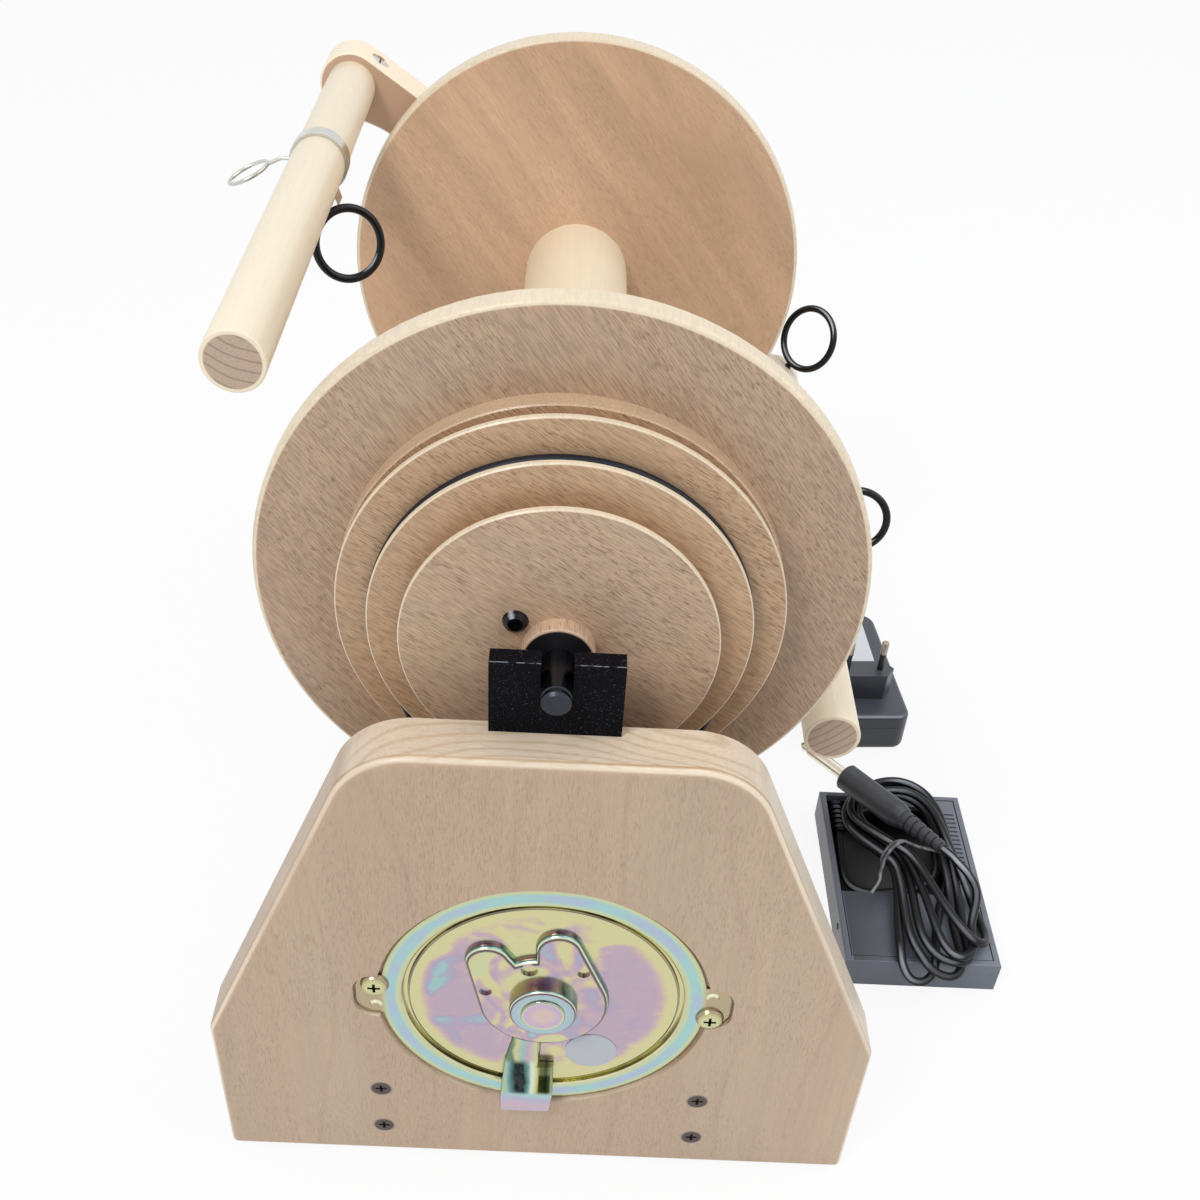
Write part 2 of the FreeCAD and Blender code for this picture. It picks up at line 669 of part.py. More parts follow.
# A screw eye is a dict of plain values: which arm, where along it, its heading round
# the arm, the twist of its ring about the shank, the ring radius and its foot radius.
def eye(side, y, heading, twist, r, foot):
    radial = Vector(math.cos(math.radians(heading)), 0, math.sin(math.radians(heading)))
    round_arm = Vector(-radial.z, 0, radial.x)
    lean = math.radians(twist)
    over = round_arm * math.cos(lean) + Y_AXIS * math.sin(lean)
    base = arm_point(side, y) + radial * foot
    return {"radial": radial, "over": over, "base": base, "r": r,
            "centre": base + radial * (EYE_NECK + EYE_WIRE + r)}


UPPER_EYE = eye(-1, UPPER_EYE_Y, -60.0, 30.0, EYE_R, ARM_R)
LOWER_EYE = eye(1, LOWER_EYE_Y, 30.0, 12.0, EYE_R, ARM_R)
LARGE_EYE = eye(1, CROSSBAR_Y + CROSSBAR_T / 2, 62.0, 50.0, LARGE_EYE_R, CROSSBAR_END_R)


def eye_shank_ends(form):
    inner = form["base"] - form["radial"] * EYE_SHANK
    return inner, form["centre"] - form["radial"] * form["r"]


def screw_eye(form):
    """Black ring with its shank in the wood."""
    normal = form["radial"].cross(form["over"])
    hoop = arc_tube(form["centre"], normal, form["centre"] + form["over"] * form["r"], 360, EYE_WIRE)
    return fused([hoop, rod(*eye_shank_ends(form), EYE_WIRE)])


def orifice_tube():
    """Steel tube with a side outlet for the yarn and the grooved brake drum turned on it."""
    start, shaft_end = CROSSBAR_Y + 2, CROSSBAR_Y + 26
    middle = DRUM_Y + DRUM_T / 2
    half = BRAKE_CORD_R + 0.6
    end = TUBE_END
    tube = bored([(0, start), (TUBE_R, start), (TUBE_R, DRUM_Y), (DRUM_R, DRUM_Y), (DRUM_R, middle - half),
                  (DRUM_GROOVE_R, middle - half), (DRUM_GROOVE_R, middle + half), (DRUM_R, middle + half),
                  (DRUM_R, DRUM_Y + DRUM_T), (TUBE_R, DRUM_Y + DRUM_T), (TUBE_R, end - 1), (TUBE_R - 1, end), (0, end)])
    tube = tube.cut(disc(TUBE_BORE, shaft_end, end + 1, 0, AXIS_Z))
    tube = tube.cut(disc(SHAFT_R, start - 1, shaft_end + 1, 0, AXIS_Z))
    window = Vector(0, (DRUM_Y + DRUM_T + FRONT_REST_Y) / 2, AXIS_Z)
    reach = Vector(0, 0, TUBE_R + 2)
    return tube.cut(rod(window - reach, window + reach, SIDE_HOLE_R))


# ================================================================ sliding guide
CLIP_BORE = ARM_R + 0.08
CLIP_OUT = CLIP_BORE + CLIP_T
FOLD_ANGLE = -72.0
LOOP_ANGLE = 180.0


def guide_clip():
    """Spring band round the upper arm, with the pinched fold that lets it slide."""
    y0, y1 = CLIP_Y - CLIP_W / 2, CLIP_Y + CLIP_W / 2
    centre = arm_point(-1, 0)
    band = ring(CLIP_OUT, CLIP_BORE, y0, y1, centre.x, centre.z)
    gap = box((centre.x, centre.x + 30), (y0 - 1, y1 + 1), (centre.z - 1.2, centre.z + 1.2))
    gap.rotate(centre, Y_AXIS, -FOLD_ANGLE)
    band = band.cut(gap)
    tabs = []
    for side in (-1, 1):
        tab = box((centre.x + CLIP_BORE + 0.2, centre.x + CLIP_OUT + 6), (y0, y1),
                  (centre.z + side * 1.7 - CLIP_T / 2, centre.z + side * 1.7 + CLIP_T / 2))
        tab.rotate(centre, Y_AXIS, -FOLD_ANGLE)
        tabs.append(tab)
    return fused([band, guide_loop()] + tabs)


def guide_loop():
    """Wire loop on a short stem, welded to the band."""
    angle = math.radians(LOOP_ANGLE)
    radial = Vector(math.cos(angle), 0, math.sin(angle))
    base = arm_point(-1, CLIP_Y) + radial * (CLIP_OUT - CLIP_T / 2)
    lean = math.radians(25.0)
    heading = Vector(-math.cos(lean), 0, -math.sin(lean))
    knee = base + radial * (LOOP_STEM * 0.4)
    start = knee + heading * (LOOP_STEM * 0.6)
    centre = start + heading * LOOP_R
    hoop = Part.makeTorus(LOOP_R, LOOP_WIRE, centre, heading.cross(Y_AXIS))
    foot = rod(base, knee + radial * LOOP_WIRE * 0.5, LOOP_WIRE)
    return fused([hoop, rod(knee, start, LOOP_WIRE), foot])


# ================================================================ motor
MOTOR_SCREW_R = 2.0
MOTOR_SCREW_HEAD = 5.5
MOTOR_SCREW_END = 16.0
MOTOR_SCREWS = [(-EAR_HOLE_X, MOTOR_AXIS_Z + EAR_HOLE_STEP), (EAR_HOLE_X, MOTOR_AXIS_Z - EAR_HOLE_STEP + 0.5)]
EAR_RIVETS = [(x, 2 * MOTOR_AXIS_Z - z + 0.5) for x, z in MOTOR_SCREWS]


def ear_plate(back_y, grow):
    """Both mounting ears as one bar across the can, grown for the recess in the panel."""
    half = EAR_X + grow
    z0, z1 = MOTOR_AXIS_Z - EAR_BOTTOM - grow, MOTOR_AXIS_Z + EAR_TOP + grow
    front = RIM_FRONT_Y if grow == 0 else -1
    points = [(-half, z0), (half, z0), (half, z1), (-half, z1)]
    return upright(points, [7.5 + grow] * 4, front, back_y)


def heart(y0, y1, shrink=0.0):
    """Raised boss: a round body and two lobes with a notch between them."""
    solids = [disc(BOSS_R - shrink, y0, y1, 0, MOTOR_AXIS_Z)]
    for angle in LOBE_ANGLES:
        head = Vector(math.cos(math.radians(angle)), math.sin(math.radians(angle)), 0)
        side = Vector(-head.y, head.x, 0)
        lobe = head * LOBE_REACH
        outer = side * (1 if angle > 100 else -1)
        lean = math.acos((BOSS_R - LOBE_R) / LOBE_REACH)
        flank = head * math.cos(lean) + outer * math.sin(lean)
        tip, foot = lobe + flank * (LOBE_R - shrink), flank * (BOSS_R - shrink)
        near = lobe - outer * (LOBE_R - shrink)
        corners = [foot, tip, near, head * 4 - outer * 4]
        solids.append(upright([(p.x, p.y + MOTOR_AXIS_Z) for p in corners], [0] * 4, y0, y1))
        solids.append(disc(LOBE_R - shrink, y0, y1, lobe.x, lobe.y + MOTOR_AXIS_Z))
    return fused(solids)


BOSS_DIMPLES = [(-21.9, 7.0, 2.4), (-5.7, 20.2, 3.2), (14.5, 19.8, 2.4)]
PAN_R = CAN_R - SHEET_T - MOAT_W


def can_sheet():
    """Turned form of the can: pan, groove, rim and wall in one sheet."""
    t, front = SHEET_T, RIM_FRONT_Y
    outside = [(0, PAN_Y), (PAN_R - 1.0, PAN_Y), (PAN_R - 0.3, PAN_Y + 0.3), (PAN_R, MOAT_Y),
               (CAN_R - t, MOAT_Y), (CAN_R - t + 0.2, front + 0.6), (CAN_R - t + 0.8, front),
               (RIM_R - 0.4, front), (RIM_R, front + 0.4), (RIM_R, front + t), (CAN_R, front + t), (CAN_R, CAN_BACK_Y)]
    inside = [(CAN_R - t, CAN_BACK_Y), (CAN_R - t, MOAT_Y + t), (PAN_R - t, MOAT_Y + t), (PAN_R - t - 0.6, PAN_Y + t),
              (0, PAN_Y + t)]
    return turned(outside + inside, 0, MOTOR_AXIS_Z)


def raised(r, front_y, edge):
    """Round form pressed out of the pan, with a softened front edge."""
    form = disc(r, front_y, PAN_Y + SHEET_T / 2, 0, MOTOR_AXIS_Z)
    return soften(form, edge, lambda e: len(e.Vertexes) == 1 and e.CenterOfMass.y < front_y + 0.1)


def motor_housing():
    """Pressed, zinc-plated rear can: rim with ears, pan in a groove, raised boss and bearing cup."""
    z = MOTOR_AXIS_Z
    rim_back = RIM_FRONT_Y + SHEET_T
    ears = ear_plate(rim_back, 0).cut(disc(RIM_R - 1, -1, CAN_BACK_Y, 0, z))
    boss = heart(BOSS_Y, PAN_Y + SHEET_T / 2)
    boss = soften(boss, BOSS_EDGE_R, lambda e: abs(e.CenterOfMass.y - BOSS_Y) < 1e-3)
    cup = raised(CUP_R, CUP_FACE_Y, 1.6)
    cap = raised(CUP_RING_R, CUP_FACE_Y - CUP_RING_H, 0.5)
    body = fused([can_sheet(), ears, boss, cup, cap])
    seat = disc(MOTOR_BUSH_R, CUP_FACE_Y + SHEET_T, PAN_Y + SHEET_T + 1, 0, z)
    holes = [disc(r, BOSS_Y - 1, BOSS_Y + 1.2, x, z + up) for x, up, r in BOSS_DIMPLES]
    ear_holes = [disc(MOTOR_SCREW_R + SEAT_GAP, RIM_FRONT_Y - 1, rim_back + 1, x, hz) for x, hz in MOTOR_SCREWS]
    body = body.cut(group([seat] + holes + ear_holes))
    rivets = [turned([(0, RIM_FRONT_Y - 1.1), (1.7, RIM_FRONT_Y - 0.9), (2.7, RIM_FRONT_Y + 0.2), (0, RIM_FRONT_Y + 0.2)],
                     x, hz) for x, hz in EAR_RIVETS]
    return fused([body] + rivets)


def cover_form(line, radii, outline, corners):
    """Solid between a side profile and a front outline, down to the can."""
    deep = 20.0
    side = rounded(line + [(deep, line[-1][1]), (deep, line[0][1])], radii + [0, 0],
                   lambda p: Vector(COVER_X - 15, p.x, p.y))
    form = Part.Face(side).extrude(Vector(30, 0, 0))
    return form.common(upright([(COVER_X + x, z) for x, z in outline], corners, -30, deep))


def lead_cover():
    """Pressed cover of the leads: a rib on the pan that swells and hooks over the rim."""
    z = MOTOR_AXIS_Z
    t = SHEET_T
    rib, front = PAN_Y - COVER_RIB, -COVER_SWELL
    top, rise, crest, foot = z - BOSS_R + 3, z - 36.5, z - 50, z - RIM_R - 3.7
    outline = [(-5.6, top), (-9.0, rise - 2), (-10.4, crest - 3), (-10.4, foot - 1), (9.4, foot - 1),
               (10.6, crest - 3), (10.6, rise - 3), (4.8, rise - 3), (5.6, top)]
    cover = cover_form([(rib, top), (rib, rise), (front, crest), (front + 0.4, foot + 4), (0, foot)],
                       [0, 9.0, 3.0, 2.0, 0], outline, [0, 8, 8, 4, 4.5, 8, 0, 0, 0])

    def long_edge(edge):
        start, end = edge.firstVertex().Point, edge.lastVertex().Point
        run = end - start
        return edge.CenterOfMass.y < rib + 0.05 and abs(run.z) > 0.2 and abs(run.x) < 0.9 * run.Length

    cover = soften(cover, 1.6, long_edge)
    pocket = box((COVER_X + 4.8, COVER_X + 9.4), (-20, front + 4.6), (crest + 1, rise - 4))
    inner = [(3.0, rise - 5), (front + t, crest - 0.5), (front + t + 0.4, foot + 4.4), (3.0, foot + 1.5)]
    hollow = Part.Face(Part.makePolygon([Vector(COVER_X - 10.4 + t, y, up) for y, up in inner + inner[:1]]))
    hollow = hollow.extrude(Vector(14.0 - t, 0, 0))
    gap_can = ring(RIM_R + 0.4, PAN_R - 1.5, RIM_FRONT_Y - SLIP_GAP, 30, 0, z)
    gap_pan = disc(PAN_R - 1.4, PAN_Y - SLIP_GAP, 30, 0, z)
    gap_panel = ring(RIM_R + 60, RIM_R + 0.3, -0.1, 30, 0, z)
    gap_boss = disc(BOSS_R + SLIP_GAP, -20, 30, 0, z)
    return cover.cut(group([pocket])).cut(hollow).cut(gap_can).cut(gap_pan).cut(gap_panel).cut(gap_boss)


def motor_label():
    return disc(10.2, PAN_Y - 0.3, PAN_Y, 19.5, MOTOR_AXIS_Z - 31.2)


def motor_screws():
    """Zinc-plated pan-head screws in the ears."""
    screws = []
    for x, z in MOTOR_SCREWS:
        y = RIM_FRONT_Y
        head = turned([(0, y - 2.4), (2.6, y - 2.3), (4.6, y - 1.7), (5.3, y - 0.7), (MOTOR_SCREW_HEAD, y), (0, y)], x, z)
        screw = fused([head, disc(MOTOR_SCREW_R, y, MOTOR_SCREW_END, x, z)])
        screws.append(screw.cut(phillips(x, y - 2.5, z, 2.4, 1.5, 1)))
    return group(screws)


def motor_end_plate():
    """Inner end plate that closes the can and holds the second bush."""
    z = MOTOR_AXIS_Z
    plate = disc(CAN_R - SHEET_T, CAN_BACK_Y - 3, CAN_BACK_Y, 0, z)
    nose = disc(11.0, CAN_BACK_Y, CAN_BACK_Y + 4, 0, z)
    bore = disc(MOTOR_BUSH_R, CAN_BACK_Y - 4, CAN_BACK_Y + 5, 0, z)
    return fused([plate, nose]).cut(bore)


def motor_bushes():
    """Bronze bushes in the cup and in the end plate."""
    z = MOTOR_AXIS_Z
    spans = [(CUP_FACE_Y + SHEET_T, CUP_FACE_Y + SHEET_T + 7), (CAN_BACK_Y - 3, CAN_BACK_Y + 4)]
    return group([ring(MOTOR_BUSH_R, MOTOR_SHAFT_R + RUN_GAP, y0, y1, 0, z) for y0, y1 in spans])


MAGNET_Y = (22.0, 27.0)
MAGNET_R = (CAN_R - 8.6, CAN_R - 30.6)
ARMATURE_R = MAGNET_R[0] - 1.0
BRUSH_X = ARMATURE_R - 26.0
ARMATURE_Y = (16.5, 20.5)
BRUSH_Y = (PAN_Y + SHEET_T, 15.9)


def motor_magnets():
    """Ferrite segments in a ring on the end plate."""
    z = MOTOR_AXIS_Z
    band = ring(MAGNET_R[0], MAGNET_R[1], MAGNET_Y[0], MAGNET_Y[1], 0, z)
    slots = []
    for i in range(4):
        slot = box((-50, 50), (MAGNET_Y[0] - 1, MAGNET_Y[1] + 1), (z - 1.5, z + 1.5))
        slot.rotate(Vector(0, 0, z), Y_AXIS, 45 * i)
        slots.append(slot)
    return band.cut(group(slots))


def motor_brushes():
    """Two carbon brushes in their holders, against the armature's commutator face."""
    z = MOTOR_AXIS_Z
    return group([box((side * BRUSH_X - 3, side * BRUSH_X + 3), BRUSH_Y, (z - 4, z + 4)) for side in (-1, 1)])


def motor_armature():
    """Flat wound disc with its hub."""
    z = MOTOR_AXIS_Z
    plate = disc(ARMATURE_R, ARMATURE_Y[0], ARMATURE_Y[1], 0, z)
    hub = disc(10.0, ARMATURE_Y[0] - 4, ARMATURE_Y[1] + 4, 0, z)
    return fused([plate, hub]).cut(disc(MOTOR_SHAFT_R, 0, 60, 0, z))


def motor_shaft():
    z = MOTOR_AXIS_Z
    return disc(MOTOR_SHAFT_R, CUP_FACE_Y + SHEET_T + 0.5, PULLEY_SPAN[1] + 1.5, 0, z)


PULLEY_SPAN = (GROOVE_Y - 9.0, GROOVE_Y + 5.0)


def motor_pulley():
    """Round-belt pulley with a clamping hub."""
    y0, y1 = PULLEY_SPAN
    floor = PULLEY_R - BELT_R - BELT_GAP
    rim = PULLEY_R + 1.4
    half = BELT_R + 0.6
    profile = [(MOTOR_SHAFT_R, y0), (8, y0), (8, GROOVE_Y - half - 2.2), (rim, GROOVE_Y - half - 2.2),
               (rim, GROOVE_Y - half), (floor, GROOVE_Y - half), (floor, GROOVE_Y + half), (rim, GROOVE_Y + half),
               (rim, y1), (MOTOR_SHAFT_R, y1)]
    hub_screw = rod(Vector(0, y0 + 2.2, MOTOR_AXIS_Z), Vector(0, y0 + 2.2, MOTOR_AXIS_Z + 12), 1.5 + SEAT_GAP)
    return turned(profile, 0, MOTOR_AXIS_Z).cut(hub_screw)


def pulley_screw():
    """Grub screw of the pulley."""
    foot = Vector(0, PULLEY_SPAN[0] + 2.2, MOTOR_AXIS_Z)
    return rod(foot + Vector(0, 0, MOTOR_SHAFT_R + SEAT_GAP), foot + Vector(0, 0, 8.0), 1.5)


def drive_belt():
    """Round belt over the middle groove of the whorl and the motor pulley."""
    reach = AXIS_Z - MOTOR_AXIS_Z
    tilt = math.asin((BELT_ORBIT - PULLEY_R) / reach)
    up, down = Vector(0, GROOVE_Y, AXIS_Z), Vector(0, GROOVE_Y, MOTOR_AXIS_Z)
    pieces = []
    for side in (-1, 1):
        out = Vector(side * math.cos(tilt), 0, -math.sin(tilt))
        pieces.append(rod(up + out * BELT_ORBIT, down + out * PULLEY_R, BELT_R))
    right = Vector(math.cos(tilt), 0, -math.sin(tilt))
    over = 180 + 2 * math.degrees(tilt)
    pieces.append(arc_tube(up, Vector(0, -1, 0), up + right * BELT_ORBIT, over, BELT_R))
    pieces.append(arc_tube(down, Y_AXIS, down + right * PULLEY_R, 360 - over, BELT_R))
    return fused(pieces)


# ================================================================ brake
BRAKE_CORD_R = 1.25
PEG_X = 46.0
PEG_Z = AXIS_Z - 40.0
PEG_R = 4.0
HOOK_R = 1.5
HOOK_DEPTH = 12.0
BRAKE_Y = DRUM_Y + DRUM_T / 2
SPRING_R = 3.0
SPRING_WIRE = 0.5
SPRING_L = 16.0


def brake_run():
    """Centre-line figures of the brake cord: orbit, tangent angle and anchor reach."""
    orbit = DRUM_GROOVE_R + BRAKE_CORD_R + SLIP_GAP
    anchor = Vector(PEG_X - PEG_R - BRAKE_CORD_R - 0.1, BRAKE_Y, PEG_Z)
    to_anchor = anchor - Vector(0, BRAKE_Y, AXIS_Z)
    spread = math.acos(orbit / to_anchor.Length)
    heading = math.atan2(to_anchor.z, to_anchor.x)
    return orbit, heading + spread, anchor


def brake_cord():
    """Cord over the drum, from the spring to the tension peg."""
    orbit, angle, anchor = brake_run()
    centre = Vector(0, BRAKE_Y, AXIS_Z)
    right = Vector(math.cos(angle), 0, math.sin(angle)) * orbit
    left = Vector(-right.x, 0, right.z)
    sweep = 180 - 2 * math.degrees(angle)
    over = arc_tube(centre, Vector(0, -1, 0), centre + right, sweep, BRAKE_CORD_R)
    mirror = Vector(-anchor.x, anchor.y, anchor.z)
    down = (mirror - centre - left)
    spring_top = mirror - Vector(down).normalize() * SPRING_L
    return fused([rod(centre + right, anchor, BRAKE_CORD_R), over, rod(centre + left, spring_top, BRAKE_CORD_R)])


def brake_spring():
    """Coil between the cord's fixed end and its hook."""
    orbit, angle, anchor = brake_run()
    left = Vector(-math.cos(angle) * orbit, BRAKE_Y, AXIS_Z + math.sin(angle) * orbit)
    mirror = Vector(-anchor.x, anchor.y, anchor.z)
    down = Vector(mirror - left).normalize()
    coils = 6
    pitch = SPRING_L / (coils + 1)
    hoops = [Part.makeTorus(SPRING_R, SPRING_WIRE * 1.3, mirror - down * (pitch * (i + 1)), down)
             for i in range(coils)]
    spine = rod(mirror - down * SPRING_L, mirror - down * 1.5, SPRING_R - 0.2)
    return fused([spine] + hoops)


def brake_hook():
    """Screw hook on the front panel's inner face that holds the spring."""
    orbit, angle, anchor = brake_run()
    x = -PEG_X
    shank = disc(HOOK_R, BRAKE_Y - 2, FRONT_Y + HOOK_DEPTH, x, PEG_Z)
    knob = disc(HOOK_R + 1.2, BRAKE_Y - 3.2, BRAKE_Y - 2, x, PEG_Z)
    eyelet = rod(Vector(x, BRAKE_Y, PEG_Z), Vector(-anchor.x - 0.0, BRAKE_Y, PEG_Z + 1.0), HOOK_R * 0.6)
    return fused([shank, knob, eyelet])


def brake_peg():
    """Turned tension knob with its peg through the front panel."""
    peg = disc(PEG_R, BRAKE_Y - 2.6, FRONT_FACE_Y + SLIP_GAP + 2, PEG_X, PEG_Z)
    y = FRONT_FACE_Y + SLIP_GAP
    knob = turned([(0, y), (9, y), (11, y + 3), (11, y + 11), (8, y + 14), (0, y + 14)], PEG_X, PEG_Z)
    grips = []
    for i in range(12):
        angle = math.radians(30 * i)
        grips.append(disc(1.2, y - 1, y + 20, PEG_X + 11.6 * math.cos(angle), PEG_Z + 11.6 * math.sin(angle)))
    return fused([peg, knob]).cut(group(grips))


# ================================================================ orifice bearing
ORIFICE_BUSH_R = 12.0


def orifice_bearing():
    """Flanged bush in the orifice plate."""
    y0, y1 = FRONT_REST_Y, FRONT_REST_Y + REST_T
    return bored([(TUBE_R + RUN_GAP, y0), (ORIFICE_BUSH_R, y0), (ORIFICE_BUSH_R, y1),
                  (ORIFICE_BUSH_R + 1.5, y1), (ORIFICE_BUSH_R + 1.5, y1 + 1.5), (TUBE_R + RUN_GAP, y1 + 1.5)])


# ================================================================ controls
FASCIA_Y = FRONT_FACE_Y + FASCIA_T
POT_SHAFT_R = 3.0
ROCKER_W, ROCKER_H = 13.0, 19.0
INLET_R = 2.75
INLET_NECK_R = 4.0
SOCKET_NECK_R = 4.6


def control_fascia():
    """Black control plate over the opening in the front panel."""
    half_w, half_h = FASCIA_W / 2, FASCIA_H / 2
    points = [(-half_w, FASCIA_Z - half_h), (half_w, FASCIA_Z - half_h),
              (half_w, FASCIA_Z + half_h), (-half_w, FASCIA_Z + half_h)]
    plate = upright(points, [4.0] * 4, FRONT_FACE_Y, FASCIA_Y)
    y = (FRONT_FACE_Y - 1, FASCIA_Y + 1)
    window = box((ROCKER_X - ROCKER_W / 2, ROCKER_X + ROCKER_W / 2), y,
                 (FASCIA_Z - ROCKER_H / 2, FASCIA_Z + ROCKER_H / 2))
    holes = [disc(r, y[0], y[1], x, FASCIA_Z)
             for x, r in ((KNOB_X, POT_SHAFT_R + 0.5), (INLET_X, INLET_NECK_R), (SOCKET_X, SOCKET_NECK_R))]
    return plate.cut(group([window] + holes))


def control_box():
    """Open-fronted case of the speed controller, against the front panel's inner face."""
    half = RAIL_X - RAIL_W / 2 - 0.5
    z0, z1 = FASCIA_Z - 24, FASCIA_Z + 22
    y0 = FRONT_Y - BOX_DEPTH
    shell = box((-half, half), (y0, FRONT_Y), (z0, z1))
    return shell.cut(box((-half + 2, half - 2), (y0 + 2, FRONT_Y + 1), (z0 + 2, z1 - 2)))


def circuit_board():
    """Speed controller: upright board with its potentiometer, coils and heat sink."""
    half = RAIL_X - RAIL_W / 2 - 3
    front = FRONT_Y - BOARD_BACK
    back = front - 1.6
    z0, z1 = FASCIA_Z - 21, FASCIA_Z + 19
    plate = box((-half, half), (back, front), (z0, z1))
    pot = disc(8.5, front, FRONT_FACE_Y, KNOB_X, FASCIA_Z)
    pot = pot.cut(disc(POT_SHAFT_R + RUN_GAP, FRONT_FACE_Y - 10, FRONT_FACE_Y + 1, KNOB_X, FASCIA_Z))
    cans = [disc(5.0, back - 14, back, x, FASCIA_Z - 6) for x in (-30, -16, 12)]
    sink = box((20, 42), (back - 20, back), (FASCIA_Z - 14, FASCIA_Z + 8))
    fins = [box((22 + 5 * i, 24.5 + 5 * i), (back - 21, back - 4), (FASCIA_Z - 15, FASCIA_Z + 9)) for i in range(4)]
    return fused([plate, pot, sink.cut(group(fins))] + cans)


def speed_knob():
    """Knob with its shaft and a pointer line."""
    y = FASCIA_Y + 0.8
    shaft = disc(POT_SHAFT_R, FRONT_FACE_Y - 7.5, y + 1, KNOB_X, FASCIA_Z)
    cap = turned([(0, y), (KNOB_R, y), (KNOB_R, y + 2), (KNOB_R - 1.5, y + KNOB_L - 1), (KNOB_R - 2.5, y + KNOB_L),
                  (0, y + KNOB_L)], KNOB_X, FASCIA_Z)
    mark = box((KNOB_X - 0.6, KNOB_X + 0.6), (y + KNOB_L - 0.6, y + KNOB_L + 1), (FASCIA_Z + 2, FASCIA_Z + 12))
    return fused([shaft, cap]).cut(mark)


def rocker_frame():
    """Bezel and body of the forward, off and reverse switch."""
    x, z = ROCKER_X, FASCIA_Z
    body = box((x - ROCKER_W / 2, x + ROCKER_W / 2), (FRONT_FACE_Y - 14, FASCIA_Y),
               (z - ROCKER_H / 2, z + ROCKER_H / 2))
    bezel = box((x - ROCKER_W / 2 - 1, x + ROCKER_W / 2 + 1), (FASCIA_Y, FASCIA_Y + 1.5),
                (z - ROCKER_H / 2 - 1, z + ROCKER_H / 2 + 1))
    pocket = box((x - 5, x + 5), (FASCIA_Y - 6, FASCIA_Y + 3), (z - 8, z + 8))
    pins = Part.makeCylinder(1.0 + RUN_GAP, 12, Vector(x - 6, FASCIA_Y - 1, z), Vector(1, 0, 0))
    return fused([body, bezel]).cut(fused([pocket, pins]))


def direction_rocker():
    """Rocker with its two trunnions, level when off."""
    x, z = ROCKER_X, FASCIA_Z
    points = [(-7.4, 0.2), (-6.8, 3.4), (0.0, 2.2), (6.8, 3.4), (7.4, 0.2), (5.0, -3.0), (-5.0, -3.0)]
    face = Part.Face(Part.makePolygon([Vector(x - 4.6, FASCIA_Y - 1 + b, z + a) for a, b in points + points[:1]]))
    body = face.extrude(Vector(9.2, 0, 0))
    return fused([body, Part.makeCylinder(1.0, 11.4, Vector(x - 5.7, FASCIA_Y - 1, z), Vector(1, 0, 0))])


def dc_inlet():
    """Low-voltage inlet with its contact pin."""
    x, z = INLET_X, FASCIA_Z
    body = fused([disc(6.0, FRONT_FACE_Y - 13, FRONT_FACE_Y, x, z),
                  disc(INLET_NECK_R - SEAT_GAP, FRONT_FACE_Y - 1, FASCIA_Y + 0.6, x, z)])
    hollow = disc(INLET_R, FRONT_FACE_Y - 10, FASCIA_Y + 2, x, z)
    return fused([body.cut(hollow), disc(1.05, FRONT_FACE_Y - 11, FASCIA_Y - 1, x, z)])


def pedal_socket():
    """Jack socket for the pedal."""
    x, z = SOCKET_X, FASCIA_Z
    nut = disc(6.4, FASCIA_Y, FASCIA_Y + 2, x, z)
    body = disc(6.8, FRONT_FACE_Y - 24, FRONT_FACE_Y, x, z)
    neck = disc(SOCKET_NECK_R - SEAT_GAP, FRONT_FACE_Y - 1, FASCIA_Y + 2.4, x, z)
    return fused([body, neck, nut]).cut(disc(JACK_R + 0.1, FRONT_FACE_Y - 23, FASCIA_Y + 4, x, z))


# ================================================================ pedal
def pedal_base():
    """Low tray with a pocket for the cord."""
    x0, x1 = PEDAL_X
    y0, y1 = PEDAL_Y
    tray = box(PEDAL_X, PEDAL_Y, (0, PEDAL_H))
    tray = soften(tray, 0.8, lambda e: e.CenterOfMass.z > PEDAL_H - 0.01)
    inside = box((x0 + PEDAL_WALL, x1 - PEDAL_WALL), (y0 + PEDAL_WALL, y1 - PEDAL_WALL), (PEDAL_FLOOR, PEDAL_H + 1))
    post = box((GLAND_X - 7.0, GLAND_X + 5.0), (y1 - PEDAL_WALL - 0.5, y1 - PEDAL_WALL), (PEDAL_FLOOR - 0.5, GLAND_Z + 4))
    pivots = Part.makeCylinder(PIVOT_R + PIVOT_GAP, 90, Vector(x0 - 5, PIVOT_Y, PIVOT_Z), Vector(1, 0, 0))
    seat = disc(GLAND_TAIL_R, y1 - 12, y1 + 1, GLAND_X, GLAND_Z)
    return fused([tray.cut(inside), post]).cut(pivots).cut(seat)


